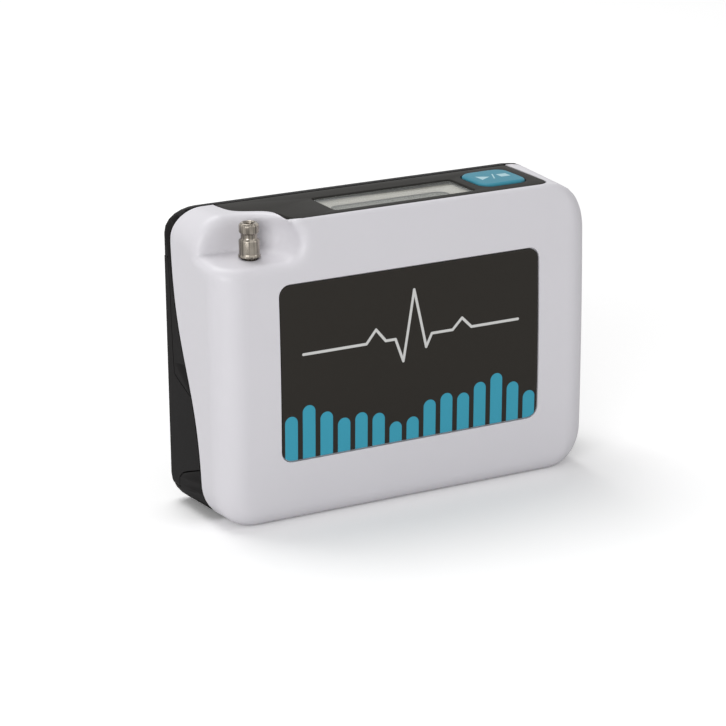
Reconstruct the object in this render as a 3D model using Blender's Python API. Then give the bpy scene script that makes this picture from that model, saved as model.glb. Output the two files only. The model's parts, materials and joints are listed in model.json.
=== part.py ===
"""Ambulatory blood pressure monitor, built as separate pieces at their real size.

The case stands on its base with the label facing -Y. The origin is the bottom centre of the whole object,
+X is to the right seen from the front and +Z is up. Lengths are metres.
"""
import math

import bmesh
import bpy
from mathutils import Vector

MM = 0.001

# Clearances and drawing steps
GAP = 0.3 * MM
EMBED = 0.5 * MM
OVERRUN = 3.0 * MM
MIN_FILLET = 0.6 * MM
CORNER_STEPS = 6
SIDE_STEPS = 4
FRONT_STEPS = 5
REAR_STEPS = 4
CURVE_STEPS = 24
ROUND_STEPS = 20
SMALL_STEPS = 12
SHARP_ANGLE = math.radians(35)
FLAT = 0.0005 * MM

# Case
CASE_WIDTH = 97.0 * MM
CASE_HEIGHT = 71.0 * MM
CASE_DEPTH = 29.3 * MM
DOOR_PROUD = 0.3 * MM
WALL = 2.0 * MM
TOP_WALL = 2.6 * MM
REAR_WALL = 2.4 * MM
FRONT_CORNER_RADIUS = 9.5 * MM
REAR_CORNER_RADIUS = 6.6 * MM
FRONT_TOP_RIGHT_RADIUS = 12.5 * MM
REAR_TOP_RIGHT_RADIUS = 9.7 * MM
FRONT_SIDE_RADIUS = 6.5 * MM
FRONT_TOP_RADIUS = 1.0 * MM
FRONT_BASE_RADIUS = 4.6 * MM
REAR_SIDE_RADIUS = 1.1 * MM
REAR_TOP_RADIUS = 5.6 * MM
REAR_BASE_RADIUS = 3.0 * MM
FRONT_CROWN = 1.0 * MM
CROWN_FADE = 9.0 * MM

# Parting line between the shells, an S seen from the side
PARTING_MEAN_DEPTH = 18.4 * MM
PARTING_SWING = 7.2 * MM
PARTING_HEIGHT = 34.3 * MM
PARTING_SOFTNESS = 16.7 * MM
PARTING_ROLL = 2.9 * MM
PARTING_ROLL_ROOM = 9.0 * MM
REVEAL = 0.6 * MM
LIP_THICKNESS = 0.8 * MM
LIP_REACH = 2.0 * MM

# Label on the front
LABEL_WIDTH = 67.0 * MM
LABEL_HEIGHT = 41.2 * MM
LABEL_CENTRE_HEIGHT = 35.8 * MM
LABEL_CORNER_RADIUS = 2.5 * MM
LABEL_RECESS = 0.8 * MM
LABEL_SUNK = 0.1 * MM
LABEL_THICKNESS = 0.4 * MM

# Panel let into the top
PANEL_THICKNESS = 0.9 * MM
PANEL_LEFT_MARGIN = 9.9 * MM
PANEL_RIGHT_MARGIN = 10.9 * MM
PANEL_FRONT_DEPTH = 2.0 * MM
PANEL_REAR_DEPTH = 22.7 * MM
PANEL_CORNER_RADIUS = 3.0 * MM
PANEL_LEDGE = 1.0 * MM
WAVE_WIDTH = 12.2 * MM
WAVE_DEPTH = 15.5 * MM
WAVE_SHARES = ((0.0, 1.25), (0.018, 1.14), (0.045, 1.01), (0.10, 0.885), (0.206, 0.80), (0.327, 0.748),
               (0.45, 0.697), (0.571, 0.64), (0.656, 0.57), (0.714, 0.47), (0.745, 0.33), (0.765, 0.215),
               (0.80, 0.115), (0.86, 0.04), (0.96, 0.0))

# Display window, its frame, glass and board
WINDOW_WIDTH = 36.6 * MM
WINDOW_DEPTH = 12.4 * MM
WINDOW_BUTTON_ROOM = 2.9 * MM
WINDOW_CENTRE_DEPTH = 10.6 * MM
WINDOW_CORNER_RADIUS = 1.0 * MM
LENS_THICKNESS = 0.6 * MM
FRAME_FLANGE = 1.0 * MM
FRAME_SLOPE_WIDTH = 3.2 * MM
FRAME_SLOPE_DEPTH = 2.2 * MM
FRAME_SLOPE_HEIGHT = 0.7 * MM
GLASS_MARGIN = 1.0 * MM
GLASS_THICKNESS = 1.8 * MM
ZEBRA_HEIGHT = 2.4 * MM
ZEBRA_WIDTH = 1.6 * MM
DISPLAY_BOARD_THICKNESS = 1.6 * MM
DISPLAY_BOARD_LEFT = 3.0 * MM
DISPLAY_BOARD_SIDE_ROOM = 5.2 * MM
DISPLAY_BOARD_FRONT_ROOM = 1.0 * MM
DISPLAY_BOARD_DEPTH = 18.2 * MM
RIBBON_WIDTH = 12.0 * MM
RIBBON_THICKNESS = 0.3 * MM
RIBBON_OFFSET = -13.0 * MM
RIBBON_LAP = 1.5 * MM

# Start and stop button and its switch
BUTTON_WIDTH = 12.2 * MM
BUTTON_DEPTH = 12.6 * MM
BUTTON_RIGHT_ROOM = 3.2 * MM
BUTTON_CENTRE_DEPTH = 12.1 * MM
BUTTON_CORNER_RADIUS = 3.0 * MM
BUTTON_PROUD = 0.4 * MM
BUTTON_CROWN = 0.15 * MM
BUTTON_EDGE = 0.5 * MM
BUTTON_FLANGE = 0.7 * MM
BUTTON_FLANGE_THICKNESS = 1.1 * MM
BUTTON_POST_RADIUS = 2.2 * MM
SWITCH_SIDE = 6.0 * MM
SWITCH_HEIGHT = 2.5 * MM
STEM_RADIUS = 1.75 * MM
STEM_LENGTH = 2.4 * MM
STEM_PROUD = 0.9 * MM

# Pocket for the hose connector, scooped out of the top left front corner
POCKET_REACH = 21.0 * MM
POCKET_DEPTH = 12.2 * MM
POCKET_FRONT_SINK = 9.9 * MM
POCKET_REAR_SINK = 8.3 * MM
POCKET_FRONT_RADIUS = 4.4 * MM
POCKET_REAR_RADIUS = 4.2 * MM
POCKET_BEND_RADIUS = 11.0 * MM
POCKET_FRONT_UPPER_RADIUS = 5.0 * MM
POCKET_REAR_UPPER_RADIUS = 4.8 * MM
POCKET_LEAN = 50
POCKET_STEPS = 5
POCKET_ARC_STEPS = 8

# Hose nipple, its nut and seal
NIPPLE_SIDE_ROOM = 11.1 * MM
NIPPLE_CENTRE_DEPTH = 7.3 * MM
NIPPLE_SEAT_RADIUS = 3.0 * MM
NIPPLE_FLANGE_RADIUS = 2.55 * MM
NIPPLE_FLANGE_HEIGHT = 0.4 * MM
NIPPLE_BODY_RADIUS = 2.33 * MM
NIPPLE_BODY_HEIGHT = 3.9 * MM
NIPPLE_NECK_RADIUS = 1.87 * MM
NIPPLE_NECK_HEIGHT = 1.4 * MM
NIPPLE_HEAD_RADIUS = 2.26 * MM
NIPPLE_HEAD_HEIGHT = 2.1 * MM
NIPPLE_CHAMFER = 0.45 * MM
NIPPLE_BORE_RADIUS = 1.15 * MM
NIPPLE_SHANK_RADIUS = 1.8 * MM
SEAL_RADIUS = 2.8 * MM
SEAL_HEIGHT = 0.7 * MM
NUT_RADIUS = 2.7 * MM
NUT_HEIGHT = 1.7 * MM
BARB_RADIUS = 1.0 * MM
BARB_LENGTH = 3.5 * MM
BARB_BORE_RADIUS = 0.5 * MM

# Battery bay, cells, contacts and door
CELL_RADIUS = 7.1 * MM
CELL_LENGTH = 48.6 * MM
CELL_NUB_RADIUS = 2.7 * MM
CELL_NUB_HEIGHT = 1.2 * MM
CELL_EDGE = 0.6 * MM
CELL_ROOM = 0.4 * MM
BAY_SIDE_WALL = 1.0 * MM
BAY_WALL = 1.8 * MM
BAY_FRONT_WALL = 1.2 * MM
CONTACT_THICKNESS = 0.3 * MM
CONTACT_SIDE = 9.0 * MM
SPRING_WIRE_RADIUS = 0.25 * MM
SPRING_WIDE_RADIUS = 4.0 * MM
SPRING_NARROW_RADIUS = 2.4 * MM
SPRING_HEIGHT = 3.0 * MM
SPRING_TURNS = 2.5
SPRING_STEPS = 10
SPRING_SIDES = 5
BAY_TOP_ROOM = 0.4 * MM
DOOR_BASE = 4.4 * MM
DOOR_CORNER_RADIUS = 2.5 * MM
DOOR_UPPER_SEAM_SHARES = ((0.925, 1.0), (0.922, 0.985), (0.90, 0.88), (0.89, 0.69), (0.875, 0.55),
                          (0.86, 0.50), (0.76, 0.478), (0.60, 0.447), (0.30, 0.40))
DOOR_LOWER_SEAM_SHARES = ((0.30, 0.17), (0.62, 0.11), (0.75, 0.083), (0.82, 0.052), (0.86, 0.0))
DOOR_SEAM = 0.3 * MM
DOOR_LAP = 0.6 * MM
DOOR_SIDE_LIP = 1.3 * MM
TAB_REACH = 0.8 * MM
TAB_THICKNESS = 0.8 * MM
TAB_HEIGHT = 6.0 * MM
TAB_SHARES = (0.25, 0.75)

# Case screws, the columns they draw together and their brass inserts
COLUMN_RADIUS = 3.2 * MM
COLUMN_SIDE_ROOM = 6.5 * MM
COLUMN_BASE_ROOM = 6.6 * MM
COLUMN_MIDDLE_ROOM = 5.5 * MM
COLUMN_RIGHT_HEIGHT = 55.9 * MM
COLUMN_POCKET_HEIGHT = 63.7 * MM
COLUMN_POCKET_SIDE_ROOM = 8.5 * MM
BOSS_LENGTH = 7.0 * MM
POCKET_BOSS_LENGTH = 4.6 * MM
SCREW_WEB = 2.0 * MM
SCREW_RADIUS = 1.1 * MM
SCREW_HEAD_RADIUS = 2.1 * MM
SCREW_HEAD_HEIGHT = 1.5 * MM
SCREW_REACH = 3.0 * MM
SCREW_SLOT_WIDTH = 0.6 * MM
SCREW_SLOT_DEPTH = 0.7 * MM

# Main board and what it carries
BOARD_STANDOFF = 1.2 * MM
BOARD_THICKNESS = 1.6 * MM
BOARD_SIDE_ROOM = 5.5 * MM
BOARD_BASE = 10.4 * MM
BOARD_HEIGHT = 41.0 * MM
BOARD_BOSS_RADIUS = 2.3 * MM
BOARD_PIN_RADIUS = 1.0 * MM
BOARD_PIN_PROUD = 0.8 * MM
BOARD_PIN_INSET = 3.4 * MM
BOARD_PIN_HEIGHT_SHARES = (0.10, 0.68)
CHIP_SIDE = 10.0 * MM
CHIP_HEIGHT = 1.4 * MM
CHIP_SHARES = (0.46, 0.25)
BACKUP_CELL_RADIUS = 5.0 * MM
BACKUP_CELL_HEIGHT = 2.0 * MM
BACKUP_CELL_SHARES = (0.17, 0.50)
BEEPER_RADIUS = 4.2 * MM
BEEPER_HEIGHT = 3.6 * MM
BEEPER_HOLE_RADIUS = 0.9 * MM
BEEPER_HOLE_DEPTH = 1.5 * MM
BEEPER_SHARES = (0.09, 0.26)
PORT_WIDTH = 7.5 * MM
PORT_HEIGHT = 2.6 * MM
PORT_LENGTH = 5.4 * MM
PORT_WALL = 0.4 * MM
PORT_TONGUE = 0.6 * MM
PORT_HEIGHT_SHARE = 0.45

# Pump: motor, crankcase, diaphragm and cover on one vertical axis
MOTOR_RADIUS = 9.2 * MM
MOTOR_WALL = 0.7 * MM
MOTOR_BASE = 11.5 * MM
MOTOR_CAP_HEIGHT = 2.0 * MM
MOTOR_CAN_HEIGHT = 20.2 * MM
MOTOR_ROOF = 1.0 * MM
MAGNET_WALL = 1.2 * MM
MAGNET_HEIGHT = 14.0 * MM
ARMATURE_HEIGHT = 12.0 * MM
ARMATURE_SLOT_WIDTH = 1.4 * MM
ARMATURE_SLOT_DEPTH = 3.0 * MM
ARMATURE_SLOTS = 3
SHAFT_RADIUS = 1.0 * MM
SHAFT_END_ROOM = 0.8 * MM
RING_WALL = 0.8 * MM
RING_HEIGHT = 3.0 * MM
RING_SHARE = 0.42
PUMP_RADIUS = 9.5 * MM
PUMP_WALL = 1.1 * MM
CRANKCASE_HEIGHT = 7.7 * MM
CRANKCASE_FLOOR = 1.2 * MM
ECCENTRIC_RADIUS = 3.7 * MM
ECCENTRIC_HEIGHT = 2.6 * MM
CRANK_PIN_RADIUS = 0.6 * MM
CRANK_THROW = 2.4 * MM
CRANK_PIN_HEIGHT = 2.2 * MM
DRIVE_PLATE_RADIUS = 7.6 * MM
DRIVE_PLATE_HEIGHT = 1.3 * MM
DIAPHRAGM_HEIGHT = 1.0 * MM
DIAPHRAGM_CUP_RADIUS = 2.2 * MM
DIAPHRAGM_CUP_HEIGHT = 1.2 * MM
DIAPHRAGM_CUP_OFFSET = 5.4 * MM
DIAPHRAGM_CUPS = 3
VALVE_PLATE_HEIGHT = 1.6 * MM
VALVE_PLATE_HOLE_RADIUS = 0.6 * MM
COVER_HEIGHT = 4.5 * MM
PUMP_SIDE_ROOM = 2.6 * MM

# Solenoid valves, standing under the manifold
VALVE_WIDTH = 11.4 * MM
VALVE_DEPTH = 10.4 * MM
VALVE_HEIGHT = 20.0 * MM
VALVE_PLATE = 1.0 * MM
VALVE_PITCH = 12.6 * MM
VALVE_BASE = 22.5 * MM
VALVE_SIDE_ROOM = 2.2 * MM
VALVE_REAR_ROOM = 6.4 * MM
COIL_RADIUS = 4.0 * MM
COIL_FLANGE_RADIUS = 4.4 * MM
COIL_FLANGE_HEIGHT = 0.8 * MM
PLUNGER_RADIUS = 1.5 * MM
PLUNGER_LENGTH = 13.0 * MM
PLUNGER_TIP_RADIUS = 0.6 * MM
VALVE_TRAVEL = 0.6 * MM
SEAT_GAP = 0.1 * MM
VALVE_SPRING_RADIUS = 1.1 * MM
VALVE_SPRING_WIRE_RADIUS = 0.15 * MM
VALVE_SPRING_TURNS = 4
VALVE_SPRING_STEPS = 8
VALVE_SPRING_SIDES = 4
VALVE_SPRING_HEIGHT = 3.0 * MM
CAP_FLANGE_RADIUS = 3.4 * MM
CAP_FLANGE_HEIGHT = 0.8 * MM
NOZZLE_RADIUS = 1.2 * MM
NOZZLE_BORE_RADIUS = 0.5 * MM
NOZZLE_LENGTH = 2.2 * MM
SHELF_THICKNESS = 1.6 * MM

# Air manifold, pressure sensors and hoses
MANIFOLD_HEIGHT = 6.2 * MM
MANIFOLD_DEPTH = 10.4 * MM
MANIFOLD_END = 4.2 * MM
SENSOR_SIDE = 7.0 * MM
SENSOR_HEIGHT = 3.0 * MM
SENSOR_PITCH = 10.0 * MM
SENSOR_NOZZLE_LENGTH = 2.2 * MM
SPIGOT_RADIUS = 1.0 * MM
SPIGOT_LENGTH = 3.2 * MM
PUMP_SPIGOT_LENGTH = 1.0 * MM
HOSE_RADIUS = 1.8 * MM
HOSE_BORE_RADIUS = 1.3 * MM
HOSE_SIDES = 8
HOSE_STEPS = 4
HOSE_DROP = 9.0 * MM

# Blank rating label on the back
RATING_WIDTH = 42.0 * MM
RATING_HEIGHT = 30.0 * MM
RATING_THICKNESS = 0.3 * MM
RATING_RECESS = 0.7 * MM
RATING_CENTRE_OFFSET = 16.0 * MM
RATING_CENTRE_HEIGHT = 33.0 * MM
RATING_CORNER_RADIUS = 1.5 * MM

# Places that follow from the sizes above
HALF_WIDTH = CASE_WIDTH / 2
FRONT = -(CASE_DEPTH + DOOR_PROUD) / 2
BACK = FRONT + CASE_DEPTH
TOP = CASE_HEIGHT
REAR_INSET = WALL + GAP + LIP_THICKNESS
REAR_TOP_INSET = TOP_WALL + GAP + LIP_THICKNESS
INNER_BACK = BACK - REAR_WALL
INNER_RIGHT = HALF_WIDTH - REAR_INSET
PANEL_LEFT = -HALF_WIDTH + PANEL_LEFT_MARGIN
PANEL_RIGHT = HALF_WIDTH - PANEL_RIGHT_MARGIN
PANEL_BASE = TOP - PANEL_THICKNESS
WINDOW_CENTRE_Y = FRONT + WINDOW_CENTRE_DEPTH
FRAME_TOP = PANEL_BASE - GAP
LENS_BASE = FRAME_TOP + GAP
GLASS_TOP = FRAME_TOP - FRAME_SLOPE_HEIGHT - GAP
GLASS_BASE = GLASS_TOP - GLASS_THICKNESS
ZEBRA_TOP = GLASS_BASE - GAP
ZEBRA_BASE = ZEBRA_TOP - ZEBRA_HEIGHT
DISPLAY_BOARD_TOP = ZEBRA_BASE - GAP
DISPLAY_BOARD_BASE = DISPLAY_BOARD_TOP - DISPLAY_BOARD_THICKNESS
FRAME_BASE = ZEBRA_BASE
BUTTON_X = PANEL_RIGHT - BUTTON_RIGHT_ROOM - BUTTON_WIDTH / 2
WINDOW_OFFSET = BUTTON_X - BUTTON_WIDTH / 2 - WINDOW_BUTTON_ROOM - WINDOW_WIDTH / 2
BUTTON_Y = FRONT + BUTTON_CENTRE_DEPTH
BUTTON_FLANGE_TOP = PANEL_BASE - GAP
SWITCH_BASE = DISPLAY_BOARD_TOP + GAP
SWITCH_TOP = SWITCH_BASE + SWITCH_HEIGHT
STEM_TOP = SWITCH_TOP + STEM_PROUD
NIPPLE_X = -HALF_WIDTH + NIPPLE_SIDE_ROOM
NIPPLE_Y = FRONT + NIPPLE_CENTRE_DEPTH
POCKET_REAR = FRONT + POCKET_DEPTH
POCKET_FRONT_FLOOR = TOP - POCKET_FRONT_SINK
POCKET_REAR_FLOOR = TOP - POCKET_REAR_SINK
POCKET_FLOOR_AT_NIPPLE = (POCKET_FRONT_FLOOR
                          + (POCKET_REAR_FLOOR - POCKET_FRONT_FLOOR) * NIPPLE_CENTRE_DEPTH / POCKET_DEPTH)
NIPPLE_BASE = POCKET_FLOOR_AT_NIPPLE + GAP
BAY_INSET = WALL + 2 * GAP
BAY_LEFT = -HALF_WIDTH + BAY_INSET + BAY_SIDE_WALL
DOOR_INNER = INNER_BACK
BAY_BACK = DOOR_INNER - GAP
CELL_Y = BAY_BACK - CELL_ROOM - CELL_RADIUS
BAY_FRONT = CELL_Y - CELL_RADIUS - CELL_ROOM
CELL_PITCH = 2 * CELL_RADIUS + CELL_ROOM
CELL_XS = tuple(BAY_LEFT + CELL_ROOM + CELL_RADIUS + index * CELL_PITCH for index in range(2))
BAY_RIGHT = CELL_XS[1] + CELL_RADIUS + CELL_ROOM
BAY_WALL_RIGHT = BAY_RIGHT + BAY_WALL
BAY_BASE = REAR_INSET
CONTACT_STACK = GAP + CONTACT_THICKNESS + GAP
CELL_WHOLE = CELL_LENGTH + CELL_NUB_HEIGHT
CELL_BASES = (BAY_BASE + CONTACT_STACK + SPRING_HEIGHT + GAP, BAY_BASE + CONTACT_STACK)
BAY_TOP = CELL_BASES[0] + CELL_WHOLE + CONTACT_STACK + BAY_TOP_ROOM
DOOR_TOP = BAY_TOP + DOOR_LAP
DOOR_HEIGHT = DOOR_TOP - DOOR_BASE
DOOR_RIGHT = BAY_RIGHT + DOOR_LAP
BOARD_FRONT = FRONT + WALL + BOARD_STANDOFF + GAP
BOARD_BACK = BOARD_FRONT + BOARD_THICKNESS
BOARD_LEFT = -HALF_WIDTH + BOARD_SIDE_ROOM
BOARD_WIDTH = CASE_WIDTH - 2 * BOARD_SIDE_ROOM
ON_BOARD = BOARD_BACK + GAP
PUMP_X = INNER_RIGHT - PUMP_SIDE_ROOM - MOTOR_RADIUS - GAP - RING_WALL
PUMP_Y = INNER_BACK - GAP - RING_WALL - GAP - MOTOR_RADIUS
CAN_BASE = MOTOR_BASE + MOTOR_CAP_HEIGHT + GAP
CAN_TOP = CAN_BASE + MOTOR_CAN_HEIGHT
CRANKCASE_BASE = CAN_TOP + GAP
CRANKCASE_TOP = CRANKCASE_BASE + CRANKCASE_HEIGHT
ECCENTRIC_BASE = CRANKCASE_BASE + CRANKCASE_FLOOR + GAP
ECCENTRIC_TOP = ECCENTRIC_BASE + ECCENTRIC_HEIGHT
DIAPHRAGM_BASE = CRANKCASE_TOP + GAP
CUP_BASE = DIAPHRAGM_BASE - DIAPHRAGM_CUP_HEIGHT
DRIVE_PLATE_TOP = CUP_BASE - GAP
DRIVE_PLATE_BASE = DRIVE_PLATE_TOP - DRIVE_PLATE_HEIGHT
VALVE_PLATE_BASE = DIAPHRAGM_BASE + DIAPHRAGM_HEIGHT + GAP
COVER_BASE = VALVE_PLATE_BASE + VALVE_PLATE_HEIGHT + GAP
COVER_TOP = COVER_BASE + COVER_HEIGHT
VALVE_TOP = VALVE_BASE + VALVE_HEIGHT
VALVE_X_RIGHT = PUMP_X - PUMP_RADIUS - VALVE_SIDE_ROOM - VALVE_WIDTH / 2
VALVE_XS = (VALVE_X_RIGHT - VALVE_PITCH, VALVE_X_RIGHT)
VALVE_Y = INNER_BACK - VALVE_REAR_ROOM - VALVE_DEPTH / 2
COIL_BASE = VALVE_BASE + VALVE_PLATE + GAP
COIL_TOP = VALVE_TOP - VALVE_PLATE - GAP
COIL_BORE_RADIUS = PLUNGER_RADIUS + GAP
PLUNGER_BASE = COIL_BASE
PLUNGER_TOP = PLUNGER_BASE + PLUNGER_LENGTH
VALVE_SPRING_BASE = PLUNGER_TOP + GAP
VALVE_SPRING_TOP = VALVE_SPRING_BASE + VALVE_SPRING_HEIGHT
CAP_PLUG_BASE = VALVE_SPRING_TOP + GAP
CAP_FLANGE_BASE = VALVE_TOP + GAP
CAP_FLANGE_TOP = CAP_FLANGE_BASE + CAP_FLANGE_HEIGHT
MANIFOLD_BASE = CAP_FLANGE_TOP + GAP
MANIFOLD_TOP = MANIFOLD_BASE + MANIFOLD_HEIGHT
MANIFOLD_Z = MANIFOLD_BASE + MANIFOLD_HEIGHT / 2
MANIFOLD_LEFT = VALVE_XS[0] - MANIFOLD_END
MANIFOLD_RIGHT = PUMP_X - PUMP_RADIUS - SPIGOT_LENGTH
SENSOR_FACE = ON_BOARD + SENSOR_HEIGHT
SENSOR_TIP = SENSOR_FACE + SENSOR_NOZZLE_LENGTH
MANIFOLD_FRONT = SENSOR_FACE + GAP * 2
SENSOR_MIDDLE = (MANIFOLD_LEFT + MANIFOLD_RIGHT) / 2
SENSOR_XS = (SENSOR_MIDDLE - SENSOR_PITCH / 2, SENSOR_MIDDLE + SENSOR_PITCH / 2)
BOARD_REST_BASE = DISPLAY_BOARD_BASE - GAP - SHELF_THICKNESS


# Mesh helpers


def colour(red, green, blue):
    """Linear colour of an sRGB value written in 0 to 255."""
    def linear(value):
        share = value / 255
        return share / 12.92 if share <= 0.04045 else ((share + 0.055) / 1.055) ** 2.4
    return (linear(red), linear(green), linear(blue), 1.0)


def finish(name, rgb, roughness, metallic=0.0, alpha=1.0):
    """A plain Principled material."""
    material = bpy.data.materials.new(name)
    material.use_nodes = True
    shader = material.node_tree.nodes["Principled BSDF"]
    shader.inputs["Base Color"].default_value = colour(*rgb)
    shader.inputs["Roughness"].default_value = roughness
    shader.inputs["Metallic"].default_value = metallic
    shader.inputs["Alpha"].default_value = alpha
    return material


def settle(mesh):
    """Smooth shading with sharp edges kept."""
    mesh.shade_smooth()
    mesh.set_sharp_from_angle(angle=SHARP_ANGLE)


def twist(face):
    """How far the fourth corner of a face lies out of the plane of the other three."""
    first, second, third, fourth = (vertex.co for vertex in face.verts)
    normal = (second - first).cross(third - first)
    return abs((fourth - first).dot(normal.normalized()))


def add_object(name, shape, material=None, at=(0, 0, 0)):
    """Make an object of a bmesh, with its faces flat and pointing out."""
    bent = [face for face in shape.faces if len(face.verts) == 4 and twist(face) > FLAT]
    bmesh.ops.triangulate(shape, faces=bent)
    bmesh.ops.recalc_face_normals(shape, faces=shape.faces)
    mesh = bpy.data.meshes.new(name)
    shape.to_mesh(mesh)
    shape.free()
    settle(mesh)
    if material is not None:
        mesh.materials.append(material)
    thing = bpy.data.objects.new(name, mesh)
    bpy.context.scene.collection.objects.link(thing)
    thing.location = at
    return thing


def carve(target, tool, operation="DIFFERENCE", solver="EXACT"):
    """Cut, join or intersect target with tool for good, and drop the tool."""
    modifier = target.modifiers.new("shape", "BOOLEAN")
    modifier.operation = operation
    modifier.object = tool
    modifier.solver = solver
    bpy.context.view_layer.update()
    graph = bpy.context.evaluated_depsgraph_get()
    mesh = bpy.data.meshes.new_from_object(target.evaluated_get(graph))
    target.modifiers.clear()
    old = target.data
    mesh.name = old.name + "_cut"
    target.data = mesh
    bpy.data.meshes.remove(old)
    bpy.data.objects.remove(tool)
    settle(mesh)
    return target


def side_faces(shape, rows, closed=False):
    """Faces between each row of vertices and the next."""
    pairs = list(zip(rows, rows[1:]))
    if closed:
        pairs.append((rows[-1], rows[0]))
    for row, following in pairs:
        for index in range(len(row)):
            after = (index + 1) % len(row)
            shape.faces.new((row[index], row[after], following[after], following[index]))


def strip_cap(shape, row):
    """Close a row that is its own mirror image with level strips from right to left."""
    count = len(row)
    for index in range(count // 2 - 1):
        shape.faces.new((row[index], row[index + 1], row[count - 2 - index], row[count - 1 - index]))


def loft(name, rings, material=None, at=(0, 0, 0), strips=False, closed=False):
    """A closed body through rings of points."""
    shape = bmesh.new()
    rows = [[shape.verts.new(point) for point in ring] for ring in rings]
    side_faces(shape, rows, closed)
    if not closed:
        for row in (rows[0], rows[-1]):
            if strips:
                strip_cap(shape, row)
            else:
                shape.faces.new(row)
    return add_object(name, shape, material, at)


def lifted(outline, axis, level):
    """Points of a flat outline at a level along an axis."""
    if axis == "X":
        return [(level, u, v) for u, v in outline]
    if axis == "Y":
        return [(u, level, v) for u, v in outline]
    return [(u, v, level) for u, v in outline]


def prism(name, outline, axis, low, high, material=None, at=(0, 0, 0)):
    """A flat outline drawn out along an axis."""
    return loft(name, [lifted(outline, axis, low), lifted(outline, axis, high)], material, at)


def block(name, low, high, material=None):
    """A box between two corners."""
    outline = [(low[0], low[1]), (high[0], low[1]), (high[0], high[1]), (low[0], high[1])]
    return prism(name, outline, "Z", low[2], high[2], material)


def arc(centre, radius, start, end, steps):
    """Points of an arc, angles in degrees."""
    angles = [math.radians(start + (end - start) * step / steps) for step in range(steps + 1)]
    return [(centre[0] + radius * math.cos(a), centre[1] + radius * math.sin(a)) for a in angles]


def rounded(centre, width, height, radius, steps=3):
    """Counter-clockwise rounded rectangle."""
    across, up = width / 2 - radius, height / 2 - radius
    points = []
    for index, (sx, sy) in enumerate(((1, 1), (-1, 1), (-1, -1), (1, -1))):
        corner = (centre[0] + sx * across, centre[1] + sy * up)
        points += arc(corner, radius, 90 * index, 90 * index + 90, steps)
    return points


def offset(outline, distance):
    """A counter-clockwise outline moved outwards, with mitred corners."""
    moved = []
    for index, point in enumerate(outline):
        here = Vector(point)
        back = (here - Vector(outline[index - 1])).normalized()
        ahead = (Vector(outline[(index + 1) % len(outline)]) - here).normalized()
        first, second = Vector((back.y, -back.x)), Vector((ahead.y, -ahead.x))
        mitre = (first + second) / (1 + first.dot(second))
        moved.append(tuple(here + mitre * distance))
    return moved


def circle(radius, level, axis, steps):
    """A ring of points round an axis."""
    outline = [(radius * math.cos(math.tau * step / steps), radius * math.sin(math.tau * step / steps))
               for step in range(steps)]
    return lifted(outline, axis, level)


def turned(name, profile, material=None, at=(0, 0, 0), axis="Z", steps=ROUND_STEPS, bored=False):
    """A turned body: profile points are radius and level, and a bored one closes on itself."""
    return loft(name, [circle(radius, level, axis, steps) for radius, level in profile], material, at,
                closed=bored)


def rod(name, radius, low, high, material=None, at=(0, 0, 0), axis="Z", steps=ROUND_STEPS):
    """A plain cylinder."""
    return turned(name, ((radius, low), (radius, high)), material, at, axis, steps)


def smooth_path(points, steps):
    """Catmull-Rom curve through points."""
    nodes = [Vector(point) for point in points]
    nodes = [nodes[0] * 2 - nodes[1]] + nodes + [nodes[-1] * 2 - nodes[-2]]
    path = []
    for index in range(1, len(nodes) - 2):
        before, start, end, after = nodes[index - 1:index + 3]
        for step in range(steps):
            t = step / steps
            square = (2 * before - 5 * start + 4 * end - after) * t ** 2
            cube = (3 * start - before - 3 * end + after) * t ** 3
            path.append(0.5 * (2 * start + (end - before) * t + square + cube))
    path.append(nodes[-2])
    return path


def tube_rings(path, radius, sides):
    """Rings of points round a path, without twist."""
    rings = []
    side = (path[1] - path[0]).orthogonal().normalized()
    for index, point in enumerate(path):
        along = (path[min(index + 1, len(path) - 1)] - path[max(index - 1, 0)]).normalized()
        side = (side - along * side.dot(along)).normalized()
        other = along.cross(side)
        turns = [math.tau * n / sides for n in range(sides)]
        rings.append([point + (side * math.cos(turn) + other * math.sin(turn)) * radius for turn in turns])
    return rings


def hose(name, path, material):
    """A hose with its bore along a path."""
    outer = tube_rings(path, HOSE_RADIUS, HOSE_SIDES)
    inner = tube_rings(path, HOSE_BORE_RADIUS, HOSE_SIDES)
    return loft(name, outer + inner[::-1], material, closed=True)


def coil_spring(name, wire, low_radius, high_radius, height, turns, steps, sides):
    """A helical spring standing on zero, one unbroken wire."""
    count = int(turns * steps)
    path = []
    for index in range(count + 1):
        share = index / count
        radius = low_radius + (high_radius - low_radius) * share - wire
        angle = math.tau * turns * share
        level = wire + (height - 2 * wire) * share
        path.append(Vector((radius * math.cos(angle), radius * math.sin(angle), level)))
    gap = (height - 2 * wire) / turns - 2 * wire
    print(f"{name}: least gap between turns {gap / MM:.2f} mm")
    return loft(name, tube_rings(path, wire, sides))


# Case


def rim_samples():
    """Stations up the right half of the outline: share of the height between the corners, and normal."""
    samples = []
    for step in range(CORNER_STEPS + 1):
        angle = math.radians(90 * step / CORNER_STEPS - 90)
        samples.append((0.0, Vector((math.cos(angle), math.sin(angle)))))
    for step in range(1, SIDE_STEPS):
        samples.append((step / SIDE_STEPS, Vector((1, 0))))
    for step in range(CORNER_STEPS + 1):
        angle = math.radians(90 * step / CORNER_STEPS)
        samples.append((1.0, Vector((math.cos(angle), math.sin(angle)))))
    return samples


def blended(normal, side, top, base):
    """Edge radius round the rim: one at the sides, others along the top and the base."""
    end = top if normal.y > 0 else base
    return side + (end - side) * normal.y ** 2


def crown(height):
    """How far the front face has curved back at a height."""
    return FRONT_CROWN * ((height - LABEL_CENTRE_HEIGHT) / (CASE_HEIGHT / 2)) ** 2


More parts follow.
